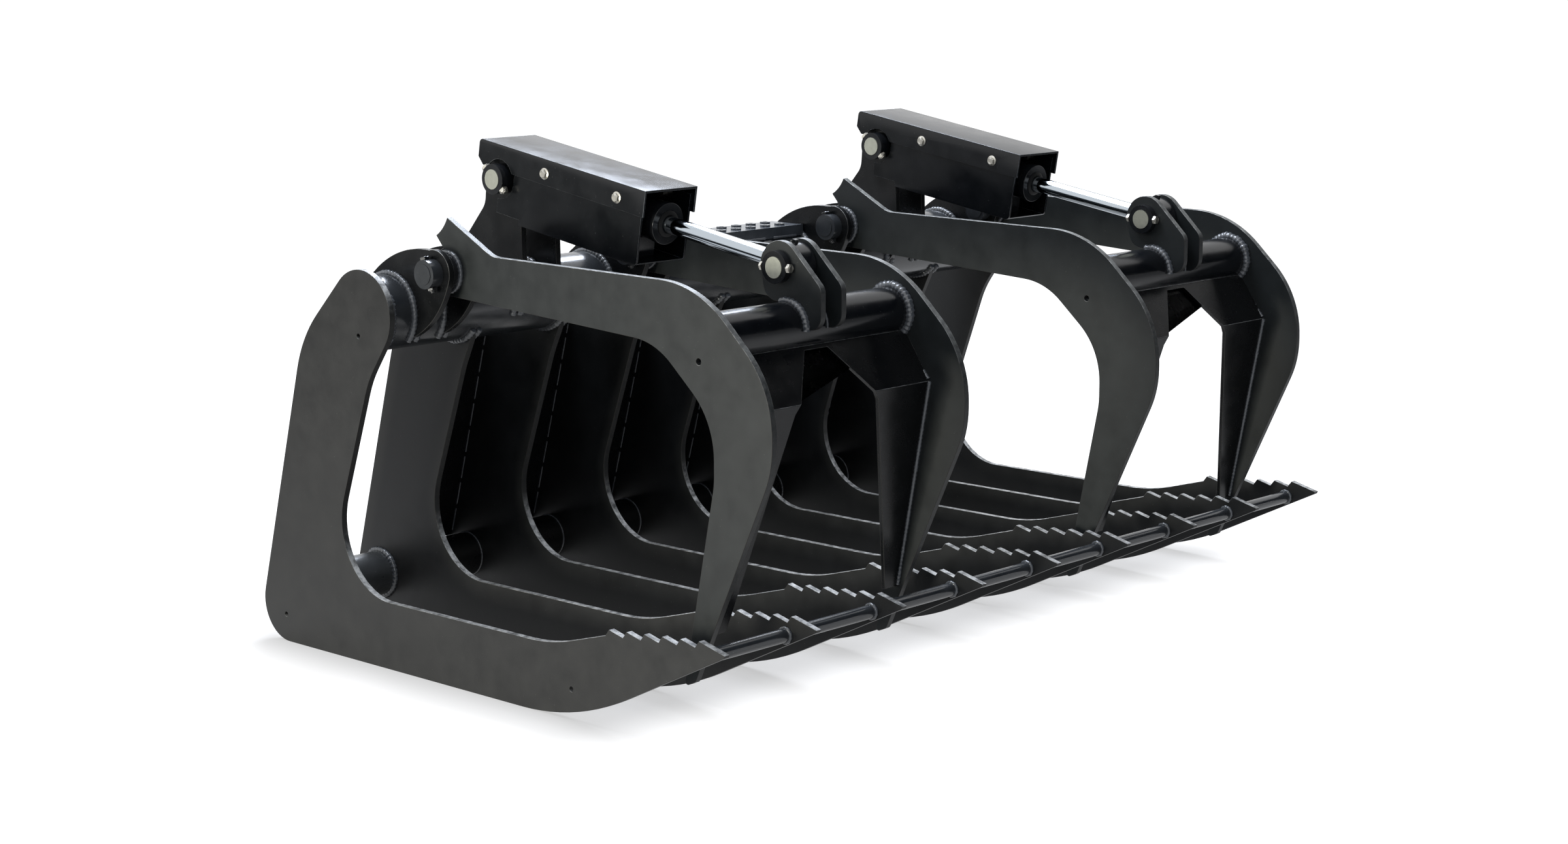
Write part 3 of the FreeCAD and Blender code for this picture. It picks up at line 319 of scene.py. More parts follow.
class Finish(Enum):
    """Every finish on the bucket, from what each real one is."""

    # Laser-cut plate: an even dark satin with faint blotches, and matt grey cut edges, paler where they look
    # up, which is a painted highlight.
    PLATE = PowderCoat("powder_coat_cut_plate", "#262929", 0.42, cut_edge="#3D3C39", top_edge="#767670",
                       gloss=0.42)
    # The two end tines, the lit copy of the tine coat: a touch lighter and warmer, with a painted highlight on
    # the edges that look up.
    TINE = PowderCoat("powder_coat_tine_plate", "#2A2A29", 0.42, cut_edge="#33322F", top_edge="#D2CFC8",
                      gloss=0.42)
    # The tines behind them: a darker copy of the same coat, painted shade, with the same painted highlight on
    # the edges that look up.
    INNER_TINE = PowderCoat("powder_coat_inner_tine", "#1D1E1E", 0.42, cut_edge="#2B2A28", top_edge="#D2CFC8",
                            gloss=0.42)
    # A plate's softened rim, where the coat is thinnest: a fine paler line, near white where it looks up,
    # which is partly a painted highlight.
    EDGE = PowderCoat("powder_coat_thin_at_edges", "#373634", 0.45, cut_edge="#393835", top_edge="#D2CFC8",
                      edge_from=0.99, edge_full=0.8, gloss=0.3, grain_mm=1.1)
    # Drawn tube: the coat lies smooth, with one long clean highlight.
    TUBE = PowderCoat("powder_coat_smooth_tube", "#15171A", 0.2, peel_mm=4.0)
    # Formed sheet and back plates: deep black with a low sheen.
    SHEET = PowderCoat("powder_coat_formed_sheet", "#121314", 0.26, gloss=0.4, peel_mm=3.0)
    # Thick coat on smooth guards: deep gloss with almost no orange peel.
    GUARD = PowderCoat("powder_coat_gloss_guard", "#121416", 0.22, gloss=0.42, peel_mm=6.0, peel_high_mm=0.01)
    # Painted highlight on the guards' folds and rims and on the tread's rims: a pale colour that stands for a
    # crisp line of light on the gloss.
    GUARD_EDGE = PowderCoat("powder_coat_gloss_guard_edge", "#B4B9BC", 0.3)
    # Turned steel under a thin coat: dark, with sharp highlights.
    PIN = PowderCoat("powder_coat_turned_steel", "#1D1E20", 0.2, gloss=0.7, peel_mm=3.0)
    # Pivot collars and large tubes: the shiniest of the coated steel, in a slate grey lighter than the black
    # coat that partly paints in their bright highlights.
    COLLAR = PowderCoat("powder_coat_pivot_collar", "#37393B", 0.2, gloss=0.9, peel_mm=3.0)
    # The heel tube: pale and spattered in the open end bays, where its paler colour also paints the light that
    # falls in; near black in the closed bays, painted shade.
    DUSTY_TUBE = PowderCoat("powder_coat_spattered_tube", "#4B4C4B", 0.3, gloss=0.8, speck_mm=6.0,
                            speck_share=0.9, clean_within=0.69)
    # The tread: glossy, in a grey lighter than the coat that paints in the glints on its buttons.
    TREAD = PowderCoat("powder_coat_worn_tread", "#4C4F52", 0.2, gloss=1.0, peel_mm=3.0)
    # Coat over weld ripples: lumpy and spattered, bright on each crest; its pale grey and many pale specks
    # also paint in the light that the beads catch.
    WELD = PowderCoat("powder_coat_over_weld", "#66686A", 0.18, gloss=1.0, peel_mm=4.0, peel_high_mm=0.7,
                      speck_mm=5.0, speck_share=0.8)
    # Zinc-plated bolts: pale, slightly warm and cloudy.
    ZINC = BareMetal("zinc_plated_bolts", "#D9D6CC", 0.34)
    # Zinc-plated pin ends: duller and cloudier, with a hint of yellow.
    PLATED_PIN = BareMetal("zinc_plated_pin_steel", "#C9CBBE", 0.42, cloud=0.12)
    # Hard chrome on the rods: a clean bluish mirror.
    CHROME = BareMetal("hard_chrome_rod", "#C3CCD4", 0.07, cloud=0.01)
    # Moulded nitrile rubber: matt black with a fine grain.
    RUBBER = PowderCoat("nitrile_rubber_wiper", "#141414", 0.55, gloss=0.4, peel_mm=1.0)

    @property
    def material(self) -> Material:
        """The material, built when it is first asked for."""
        return bpy.data.materials.get(self.value.name) or self.value.build()


@dataclass(frozen=True)
class Solid:
    """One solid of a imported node, by its lowest and highest corners."""

    low: Vector
    high: Vector

    @property
    def middle(self) -> Vector:
        """The middle of the solid's box."""
        return (self.low + self.high) / 2

    @property
    def faces_across(self) -> tuple[float, float]:
        """The places of its two flat faces along X."""
        return self.low.x, self.high.x


def joined_copy(name: str, distance: float = JOIN) -> BMesh:
    """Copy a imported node's mesh with its loose triangles joined.

    Args:
        name: The node.
        distance: How near two vertices are that become one.

    Returns:
        The copy.
    """
    mesh = bmesh.new()
    mesh.from_mesh(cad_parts[name].data)
    bmesh.ops.remove_doubles(mesh, verts=mesh.verts, dist=distance)
    return mesh


def solids_of(name: str) -> list[Solid]:
    """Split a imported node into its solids, from the lowest X to the highest.

    Args:
        name: The node.

    Returns:
        Its solids.
    """
    mesh = joined_copy(name, JOIN / 2)
    left = set(mesh.verts)
    found = []
    while left:
        heap = [left.pop()]
        places = []
        while heap:
            vertex = heap.pop()
            places.append(vertex.co.copy())
            for edge in vertex.link_edges:
                other = edge.other_vert(vertex)
                if other in left:
                    left.remove(other)
                    heap.append(other)
        low, high = (Vector(pick(place[axis] for place in places) for axis in range(3)) for pick in (min, max))
        found.append(Solid(low, high))
    mesh.free()
    return sorted(found, key=lambda solid: (solid.low.x, solid.low.y))


@dataclass(frozen=True)
class Round:
    """A round bar or tube along X: its axis and its radius."""

    back: float
    up: float
    radius: float

    @classmethod
    def of(cls, name: str) -> "Round":
        """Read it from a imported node."""
        low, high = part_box(name)
        return cls((low.y + high.y) / 2, (low.z + high.z) / 2, (high.z - low.z) / 2)

    def at(self, across: float, degrees: float, extra: float) -> Vector:
        """Return a point on it.

        Args:
            across: The point's place along X.
            degrees: Its angle from +Y.
            extra: How far it is outside the radius.

        Returns:
            The point.
        """
        angle = math.radians(degrees)
        reach = self.radius + extra
        return Vector((across, self.back + reach * math.cos(angle), self.up + reach * math.sin(angle)))


class Trees:
    """The Geometry Nodes trees that the pieces share, each built once."""

    @staticmethod
    def _start(
        name: str, inputs: dict[str, tuple[str, object]]
    ) -> tuple[NodeTree, NodeOutputs]:
        """Start a tree with a geometry input, named inputs and a geometry output.

        Args:
            name: The tree's name.
            inputs: Each input's socket type and first value, by name.

        Returns:
            The tree and what its input node gives.
        """
        tree = bpy.data.node_groups.new(name, "GeometryNodeTree")
        for way in ("INPUT", "OUTPUT"):
            tree.interface.new_socket("Geometry", in_out=way, socket_type="NodeSocketGeometry")
        for label, (kind, value) in inputs.items():
            socket = tree.interface.new_socket(label, in_out="INPUT", socket_type=f"NodeSocket{kind}")
            if value is not None:
                socket.default_value = value
        return tree, add_node(tree, "NodeGroupInput").outputs

    @staticmethod
    def _end(tree: NodeTree, shape: Node, material: NodeSocket) -> None:
        """End a tree with real geometry in one material.

        Args:
            tree: The tree.
            shape: The node that gives the geometry.
            material: The material's input.
        """
        whole = add_node(tree, "GeometryNodeRealizeInstances", {"Geometry": shape})
        painted = add_node(tree, "GeometryNodeSetMaterial", {"Geometry": whole, "Material": material})
        add_node(tree, "NodeGroupOutput", {0: painted})

    @staticmethod
    @cache
    def merged() -> NodeTree:
        """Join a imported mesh's loose triangles.

        Returns:
            The tree.
        """
        tree, given = Trees._start("join_triangles", {"Distance": ("Float", JOIN)})
        plain = add_node(tree, "GeometryNodeRemoveAttribute", {
            "Geometry": given["Geometry"], "Name": "custom_normal"})
        joined = add_node(tree, "GeometryNodeMergeByDistance", {
            "Geometry": plain, "Distance": given["Distance"]})
        add_node(tree, "NodeGroupOutput", {0: joined})
        return tree

    @staticmethod
    @cache
    def smooth() -> NodeTree:
        """Shade smooth across gentle edges only.

        Returns:
            The tree.
        """
        tree, given = Trees._start("smooth_gentle_edges", {"Angle": ("Float", SHARP)})
        angle = add_node(tree, "GeometryNodeInputMeshEdgeAngle")
        gentle = add_node(tree, "FunctionNodeCompare", {0: angle, 1: given["Angle"]}, data_type="FLOAT",
                          operation="LESS_EQUAL")
        faces = add_node(tree, "GeometryNodeSetShadeSmooth", {
            "Geometry": given["Geometry"], "Shade Smooth": True}, domain="FACE")
        edges = add_node(tree, "GeometryNodeSetShadeSmooth", {"Geometry": faces, "Shade Smooth": gentle},
                         domain="EDGE")
        add_node(tree, "NodeGroupOutput", {0: edges})
        return tree

    @staticmethod
    @cache
    def bead() -> NodeTree:
        """Sweep a rippled weld bead along the mesh's edges, as thick as their attribute bead says.

        Returns:
            The tree.
        """
        tree, given = Trees._start("weld_bead", {
            "Step": ("Float", 2.6 * MM), "Ripple": ("Float", 8.0 * MM), "Unevenness": ("Float", 0.8),
            "Material": ("Material", None)})
        curve = add_node(tree, "GeometryNodeMeshToCurve", {"Mesh": given["Geometry"]})
        fine = add_node(tree, "GeometryNodeResampleCurve", {"Curve": curve, "Length": given["Step"]},
                        mode="LENGTH")
        along = add_node(tree, "GeometryNodeSplineParameter")
        phase = add_node(tree, "ShaderNodeMath", {0: along.outputs["Length"], 1: given["Ripple"]},
                         operation="DIVIDE")
        wave = add_node(tree, "ShaderNodeMath", {0: phase, 1: 0.5}, operation="PINGPONG")
        ripple = add_node(tree, "ShaderNodeMath", {0: wave, 1: 0.6, 2: 0.8}, operation="MULTIPLY_ADD")
        noise = add_node(tree, "ShaderNodeTexNoise", {"Scale": 60.0, "Detail": 3.0, "Roughness": 0.6})
        drift = add_node(tree, "ShaderNodeMath", {0: noise, 1: given["Unevenness"], 2: 0.6},
                         operation="MULTIPLY_ADD")
        size = add_node(tree, "GeometryNodeInputNamedAttribute", {"Name": "bead"}, data_type="FLOAT")
        uneven = add_node(tree, "ShaderNodeMath", {0: ripple, 1: drift}, operation="MULTIPLY")
        reach = add_node(tree, "ShaderNodeMath", {0: uneven, 1: size}, operation="MULTIPLY")
        profile = add_node(tree, "GeometryNodeCurvePrimitiveCircle", {"Resolution": 8, "Radius": 1.0},
                           mode="RADIUS")
        swept = add_node(tree, "GeometryNodeCurveToMesh", {
            "Curve": fine, "Profile Curve": profile, "Scale": reach, "Fill Caps": True})
        smooth = add_node(tree, "GeometryNodeSetShadeSmooth", {"Geometry": swept, "Shade Smooth": True},
                          domain="FACE")
        Trees._end(tree, smooth, given["Material"])
        return tree

    @staticmethod
    @cache
    def fastened() -> NodeTree:
        """Set a fastener on each point, along the point's attribute way, at a random roll.

        Returns:
            The tree.
        """
        tree, given = Trees._start("set_fasteners", {
            "Fastener": ("Object", None), "Seed": ("Int", 3), "Material": ("Material", None)})
        model = add_node(tree, "GeometryNodeObjectInfo", {"Object": given["Fastener"]},
                         transform_space="ORIGINAL")
        way = add_node(tree, "GeometryNodeInputNamedAttribute", {"Name": "way"}, data_type="FLOAT_VECTOR")
        turned = add_node(tree, "FunctionNodeAlignRotationToVector", {"Vector": way}, axis="Z")
        spin = add_node(tree, "FunctionNodeRandomValue", {2: 0.0, 3: 1.0, "Seed": given["Seed"]},
                        data_type="FLOAT")
        roll = add_node(tree, "FunctionNodeAxisAngleToRotation", {"Axis": (0.0, 0.0, 1.0), "Angle": spin})
        pose = add_node(tree, "FunctionNodeRotateRotation", {"Rotation": turned, "Rotate By": roll},
                        rotation_space="LOCAL")
        copies = add_node(tree, "GeometryNodeInstanceOnPoints", {
            "Points": given["Geometry"], "Instance": model.outputs["Geometry"], "Rotation": pose})
        Trees._end(tree, copies, given["Material"])
        return tree


def give_tree(piece: Object, tree: NodeTree, **values: object) -> None:
    """Add a Geometry Nodes modifier and set its inputs by their sockets' identifiers.

    Args:
        piece: The object.
        tree: The tree.
        values: The inputs' values, by name.
    """
    modifier = piece.modifiers.new(tree.name, "NODES")
    modifier.node_group = tree
    for item in tree.interface.items_tree:
        if item.item_type == "SOCKET" and item.in_out == "INPUT" and item.name in values:
            modifier[item.identifier] = values[item.name]


def link_mesh(name: str, mesh: BMesh, *materials: Material) -> Object:
    """Make an object at the origin from a bmesh.

    Args:
        name: The piece's name.
        mesh: The bmesh, which is freed.
        materials: Its materials.

    Returns:
        The object.
    """
    data = bpy.data.meshes.new(name)
    mesh.to_mesh(data)
    mesh.free()
    for material in materials:
        data.materials.append(material)
    piece = bpy.data.objects.new(name, data)
    bpy.context.scene.collection.objects.link(piece)
    return piece


def settle(piece: Object) -> None:
    """Turn a piece's modifiers into plain mesh and remove them.

    Args:
        piece: The piece.
    """
    bpy.context.view_layer.update()
    evaluated = piece.evaluated_get(bpy.context.evaluated_depsgraph_get())
    mesh = bpy.data.meshes.new_from_object(evaluated)
    piece.modifiers.clear()
    piece.data = mesh
    mesh.name = piece.name


def hand_over(piece: Object, slot: str, body: str, note: str, *stands_for: str) -> None:
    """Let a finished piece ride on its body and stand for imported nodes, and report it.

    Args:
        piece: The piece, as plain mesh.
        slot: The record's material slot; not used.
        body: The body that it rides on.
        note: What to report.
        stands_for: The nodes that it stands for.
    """
    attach(piece, body)
    if stands_for:
        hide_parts(*stands_for)
    LOG.info("%s: %s", piece.name, note)


def soften(piece: Object, corner: Corner) -> None:
    """Soften a piece's sharp edges and give them its second finish.

    Args:
        piece: The piece.
        corner: How far.
    """
    bevel = piece.modifiers.new("soft_edges", "BEVEL")
    bevel.width = corner.value * MM
    bevel.segments = 2
    bevel.limit_method = "ANGLE"
    bevel.angle_limit = SHARP
    # The softened faces take the second finish, on plates and guards a paler one that paints a highlight along
    # the rims.
    bevel.material = 1
    bevel.harden_normals = True


def dress(name: str, coat: Finish, edge: Finish | None = None, corner: Corner = Corner.NONE) -> None:
    """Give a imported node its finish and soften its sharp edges, without touching its mesh.

    Args:
        name: The node.
        coat: The finish of its faces.
        edge: The finish of its softened edges, or none for the same.
        corner: How far they are softened.
    """
    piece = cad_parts[name]
    piece.data.materials.clear()
    for finish in (coat, edge or coat):
        piece.data.materials.append(finish.material)
    give_tree(piece, Trees.merged())
    if corner is not Corner.NONE:
        flat = piece.modifiers.new("flat_faces", "DECIMATE")
        flat.decimate_type = "DISSOLVE"
        flat.angle_limit = FLAT
    give_tree(piece, Trees.smooth())
    if corner is not Corner.NONE:
        soften(piece, corner)


@dataclass
class WeldLayer:
    """The weld beads of one body, each a line with its own bead radius."""

    name: str
    body: str
    arc_step: float = 5.0 * MM
    proud: float = 0.15
    beside: float = 0.25
    seams: list[tuple[list[Vector], float, Seal]] = field(default_factory=list)

    def line(self, places: list[Vector], size: float, seal: Seal = Seal.OPEN) -> None:
        """Add a seam of a bead's radius along a list of places, open or closed."""
        self.seams.append((places, size, seal))

    def arc(self, bar: Round, across: float, span: tuple[float, float], size: float) -> None:
        """Add a seam round a bar, at one place along X.

        Args:
            bar: The bar.
            across: Its place along X.
            span: The first and the last angle, in degrees from +Y. A full turn makes a closed ring.
            size: The bead's radius.
        """
        start, end = span
        is_ring = span == FULL_TURN
        count = max(6, int(abs(math.radians(end - start)) * bar.radius / self.arc_step))
        places = [bar.at(across, start + (end - start) * index / count, size * self.proud)
                  for index in range(count if is_ring else count + 1)]
        self.line(places, size, Seal.CLOSED if is_ring else Seal.OPEN)

    def both_faces(self, bar: Round, solid: Solid, span: tuple[float, float], size: float) -> None:
        """Add the seams where a plate stands on a bar, on the plate's two faces."""
        for across, way in zip(solid.faces_across, (-1, 1)):
            self.arc(bar, across + way * size * self.beside, span, size)

    def stitches(self, start: Vector, end: Vector, size: float, long: float, gap: float) -> None:
        """Add short beads with gaps between them.

        Args:
            start: Where the row starts.
            end: Where it ends.
            size: The beads' radius.
            long: Each bead's length.
            gap: The gap between two.
        """
        run = end - start
        count = max(1, int((run.length + gap) / (long + gap)))
        way = run.normalized()
        pitch = run.length / count
        for index in range(count):
            first = start + way * (index * pitch + gap / 2)
            self.line([first, first + way * (pitch - gap)], size)

    def build(self) -> None:
        """Sweep all the beads into one piece and let it ride on its body."""
        mesh = bmesh.new()
        layer = mesh.verts.layers.float.new("bead")
        for places, size, seal in self.seams:
            spots = [mesh.verts.new(place) for place in places]
            for spot in spots:
                spot[layer] = size
            pairs = list(zip(spots, spots[1:]))
            if seal is Seal.CLOSED:
                pairs.append((spots[-1], spots[0]))
            for pair in pairs:
                mesh.edges.new(pair)
        piece = link_mesh(self.name, mesh)
        give_tree(piece, Trees.bead(), Material=Finish.WELD.material)
        settle(piece)
        hand_over(piece, COAT_SLOT, self.body, f"{len(self.seams)} seams")


def turn(
    mesh: BMesh,
    profile: list[tuple[float, float]],
    count: int,
    centre: Vector = Vector(),
    way: Vector = UP,
    flats: float = 0.0,
) -> None:
    """Turn a profile about an axis, round or as a hexagon with flat ends.

    Args:
        mesh: The bmesh that gets the faces.
        profile: Points of radius and height, from one end to the other.
        count: The number of steps in a turn, which is 12 for a hexagon.
        centre: Where the height is 0.
        way: The axis.
        flats: A hexagon's width across flats, or 0 for a round.
    """
    pose = Matrix.Translation(centre) @ way.to_track_quat("Z", "Y").to_matrix().to_4x4()
    rings = []
    for radius, height in profile:
        ring = []
        for step in range(count if radius else 1):
            angle = 2 * math.pi * step / count
            reach = min(radius, flats / 2) if flats and step % 2 else radius
            spot = Vector((reach * math.cos(angle), reach * math.sin(angle), height))
            ring.append(mesh.verts.new(pose @ spot))
        rings.append(ring)
    for lower, upper in zip(rings, rings[1:]):
        for step in range(count):
            after = (step + 1) % count
            corners = dict.fromkeys((lower[step % len(lower)], lower[after % len(lower)],
                                     upper[after % len(upper)], upper[step % len(upper)]))
            if len(corners) > 2:
                mesh.faces.new(tuple(corners))
    if flats:
        mesh.faces.new(rings[-1])
        mesh.faces.new(rings[0][::-1])


@dataclass(frozen=True)
class Fastener:
    """A hexagonal bolt and its nut, in metres, drawn along +Z about the middle of what it clamps."""

    shank: float
    flats: float
    head_high: float
    reach: float
    finish: Finish = Finish.ZINC
    slot: str = ZINC_SLOT
    flange: float = 0.0
    flange_rim: float = 1.0 * MM
    flange_high: float = 2.4 * MM
    chamfer: float = 1.2 * MM
    nut: bool = True
    nut_chamfer: float = 1.0 * MM
    thread_past: float = 3.0 * MM
    thread_chamfer: float = 0.8 * MM

    def _hexagon(self, mesh: BMesh, high: float, chamfer: float, way: Vector) -> None:
        """Make the head or the nut, with its corners turned off at the top.

        Args:
            mesh: The bmesh that gets the faces.
            high: Its height.
            chamfer: The chamfer's height.
            way: Which way it looks.
        """
        corner = self.flats / math.sqrt(3)
        top = self.reach + high
        turn(mesh, [(corner, self.reach), (corner, top - chamfer), (self.flats / 2 * 0.97, top)], 12, way=way,
             flats=self.flats)

    def model(self, name: str) -> Object:
        """Build the fastener once, as a template.

        Args:
            name: The template's name.

        Returns:
            The template object, which the caller removes.
        """
        mesh = bmesh.new()
        seat = self.reach
        half = self.shank / 2
        if self.flange:
            rim = self.flange / 2
            turn(mesh, [(0, seat), (rim, seat), (rim, seat + self.flange_rim),
                        (rim * 0.72, seat + self.flange_high), (0, seat + self.flange_high)], 24)
        self._hexagon(mesh, self.head_high, self.chamfer, UP)
        dimple = self.flats * 0.3
        top = seat + self.head_high
        turn(mesh, [(dimple * 1.25, top - 0.2 * MM), (dimple * 1.15, top + 0.35 * MM),
                    (dimple, top - 0.1 * MM), (0, top - 0.1 * MM)], 16)
        if self.nut:
            end = -top - self.thread_past
            turn(mesh, [(0, end), (half - self.thread_chamfer, end), (half, end + self.thread_chamfer),
                        (half, seat), (0, seat)], 16)
            self._hexagon(mesh, self.head_high * 0.8, self.nut_chamfer, -UP)
            crown = seat + self.head_high * 0.75
            turn(mesh, [(self.flats * 0.46, crown), (self.flats * 0.44, crown + 1.5 * MM),
                        (self.flats * 0.36, crown + 2.4 * MM), (half, crown + 2.4 * MM)], 20, way=-UP)
        else:
            turn(mesh, [(0, seat), (half, seat), (half, -seat), (0, -seat)], 16)
        bmesh.ops.recalc_face_normals(mesh, faces=mesh.faces)
        return link_mesh(name, mesh)

    def set_at(self, name: str, spots: list[tuple[Vector, Vector]], body: str, node: str) -> None:
        """Set the fastener at each spot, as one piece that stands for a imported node.

        Args:
            name: The piece's name.
            spots: Each place and direction.
            body: The body that it rides on.
            node: The node that it stands for.
        """
        model = self.model(f"{name}_model")
        mesh = bmesh.new()
        layer = mesh.verts.layers.float_vector.new("way")
        for place, way in spots:
            mesh.verts.new(place)[layer] = way
        piece = link_mesh(name, mesh)
        give_tree(piece, Trees.fastened(), Fastener=model, Material=self.finish.material)
        settle(piece)
        bpy.data.objects.remove(model)
        hand_over(piece, self.slot, body, f"{len(spots)} set", node)


def round_edges(mesh: BMesh, edges: list[BMEdge], radius: float, segments: int) -> None:
    """Round some of a copy's edges.

    Args:
        mesh: The copy.
        edges: The edges.
        radius: How far from each edge the rounding starts.
        segments: The number of faces across it.
    """
    bmesh.ops.bevel(mesh, geom=edges, offset=radius, offset_type="OFFSET", segments=segments, profile=0.5,
                    affect="EDGES", clamp_overlap=True)
    bmesh.ops.recalc_face_normals(mesh, faces=mesh.faces)


def flat_copy(name: str) -> BMesh:
    """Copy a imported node's mesh with its triangles joined to whole flat faces.

    Args:
        name: The node.

    Returns:
        The copy.
    """
    mesh = joined_copy(name)
    bmesh.ops.dissolve_limit(mesh, angle_limit=FLAT, verts=mesh.verts, edges=mesh.edges)
    return mesh


def finished_copy(
    name: str, mesh: BMesh, coat: Finish, edge: Finish, corner: Corner
) -> Object:
    """Make a piece of a copy, with its sharp edges softened.

    Args:
        name: The piece's name.
        mesh: The copy.
        coat: The finish of its faces.
        edge: The finish of its softened edges.
        corner: How far they are softened.

    Returns:
        The piece.
    """
    piece = link_mesh(name, mesh, coat.material, edge.material)
    give_tree(piece, Trees.smooth())
    soften(piece, corner)
    settle(piece)
    return piece


def dress_all(coats: tuple[tuple[str, Finish, Finish | None, Corner], ...], side: str = "") -> None:
    """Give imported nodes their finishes.

    Args:
        coats: The nodes' names, in which {} is the side, with their finish, their edges' and its width.
        side: The side.
    """
    for names, coat, edge, corner in coats:
        for name in names.split():
            dress(name.format(side), coat, edge, corner)


@dataclass
class Bucket:
    """The fixed frame: tines, tubes, back, ears, towers, pins and tread."""

    tines: int = 9
    lit_tines: int = 2
    end_bead: float = 9.5 * MM
    fat_bead: float = 7.0 * MM
    bar_bead: float = 3.6 * MM
    tread_bead: float = 3.2 * MM
    inner_bead: float = 2.0 * MM
    ring_off: float = 0.3
    bar_off: float = 1.4 * MM
    ear_span: tuple[float, float] = (-2.0, 224.0)
    tower_span: tuple[float, float] = (4.0, 201.0)
    saddle_span: tuple[float, float] = (220.0, 361.0)
    tread_inset: float = 10.0 * MM
    tread_stitch: float = 70.0 * MM
    tread_gap: float = 25.0 * MM
    panel_stitch: float = 46.0 * MM
    panel_gap: float = 10.0 * MM
    panel_inset: float = 6.0 * MM
    pivot_lean: float = -20.0
    base_lean: float = -50.0

    def build(self) -> None:
        """Dress, weld and bolt the frame."""
        self.dress_nodes()
        self.weld_tubes()
        self.weld_tines()
        self.bolt()

    def dress_nodes(self) -> None:
        """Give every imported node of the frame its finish."""
        # The end tines take the lit coat, the inner ones its darker copy, which paints the shade between them.
        lit = " ".join(f"tine_{index + 1}" for index in range(self.lit_tines))
        inner = " ".join(f"tine_{index + 1}" for index in range(self.lit_tines, self.tines))
        dress_all((
            (lit, Finish.TINE, Finish.EDGE, Corner.PLATE),
            (inner, Finish.INNER_TINE, Finish.EDGE, Corner.PLATE),
            ("pivot_ears_left pivot_ears_right cylinder_towers", Finish.SHEET, Finish.EDGE, Corner.PLATE),
            ("main_tube front_cross_bar", Finish.COLLAR, None, Corner.NONE),
            ("rear_lower_tube", Finish.DUSTY_TUBE, None, Corner.NONE),
            ("back_panels attach_plate attach_top_lip attach_bottom_ledge", Finish.SHEET, Finish.EDGE,
             Corner.PLATE),
            ("step_tread", Finish.TREAD, Finish.GUARD_EDGE, Corner.FINE),
            ("pivot_pins pivot_collars", Finish.COLLAR, None, Corner.COLLAR),
            ("base_pin_collars", Finish.PIN, None, Corner.COLLAR),
            ("base_pins", Finish.PLATED_PIN, None, Corner.PIN),
        ))

    def plates(self) -> list[Solid]:
        """Return the tines, from the lowest X to the highest."""
        return [solids_of(f"tine_{index + 1}")[0] for index in range(self.tines)]

    def weld_tubes(self) -> None:
        """Lay the beads on the main tube: ears, towers, tines and tread."""
        main = Round.of("main_tube")
        layer = WeldLayer("welds_on_main_tube", "frame")
        for name, span in (("pivot_ears_left", self.ear_span), ("pivot_ears_right", self.ear_span),
                           ("cylinder_towers", self.tower_span)):
            for plate in solids_of(name):
                layer.both_faces(main, plate, span, self.fat_bead)
        first, *saddled, last = self.plates()
        for tine in saddled:
            layer.both_faces(main, tine, self.saddle_span, self.fat_bead)
        layer.arc(main, first.high.x + self.end_bead * self.ring_off, FULL_TURN, self.end_bead)
        layer.arc(main, last.low.x - self.end_bead * self.ring_off, FULL_TURN, self.end_bead)
        low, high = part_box("step_tread")
        for back in (low.y, high.y):
            start, end = (Vector((across, back, low.z + 1 * MM))
                          for across in (low.x + self.tread_inset, high.x - self.tread_inset))
            layer.stitches(start, end, self.tread_bead, self.tread_stitch, self.tread_gap)
        layer.build()

    def weld_tines(self) -> None:
        """Lay the beads between the tines: the heel tube, the front bar and the back panels."""
        heel, bar = Round.of("rear_lower_tube"), Round.of("front_cross_bar")
        layer = WeldLayer("welds_on_tines", "frame")
        tines = self.plates()
        for left, right in zip(tines, tines[1:]):
            is_open_bay = left is tines[0] or right is tines[-1]
            size = self.fat_bead if is_open_bay else self.inner_bead
            for across, way in ((left.high.x, 1), (right.low.x, -1)):
                layer.arc(heel, across + way * size * self.ring_off, FULL_TURN, size)
                layer.arc(bar, across + way * self.bar_off, FULL_TURN, self.bar_bead)
        for panel in solids_of("back_panels"):
            for across in panel.faces_across:
                foot = Vector((across, panel.high.y - 11 * MM, panel.low.z + self.panel_inset))
                top = Vector((across, panel.low.y + 0.5 * MM, panel.high.z - self.panel_inset))
                layer.stitches(foot, top, self.inner_bead, self.panel_stitch, self.panel_gap)
        layer.build()

    def bolt(self) -> None:
        """Set the cross bolts of the pivot and base pins."""
        for node, piece, lean, bolt in (
                ("pivot_bolts", "pivot_cross_bolts", self.pivot_lean,
                 Fastener(10 * MM, 16 * MM, 6 * MM, 27 * MM, Finish.PIN, BLACK_SLOT)),
                ("base_pin_bolts", "base_cross_bolts", self.base_lean,
                 Fastener(10 * MM, 16 * MM, 6 * MM, 29 * MM))):
            angle = math.radians(lean)
            way = Vector((0, -math.sin(angle), math.cos(angle)))
            bolt.set_at(piece, [(solid.middle, way) for solid in solids_of(node)], "frame", node)


@dataclass
class SidedAssembly:
    """A sub-assembly that is there on both sides."""

    side: Side

    def node(self, stem: str) -> str:
        """Return the name of this side's node."""
        return f"{stem}_{self.side.value}"


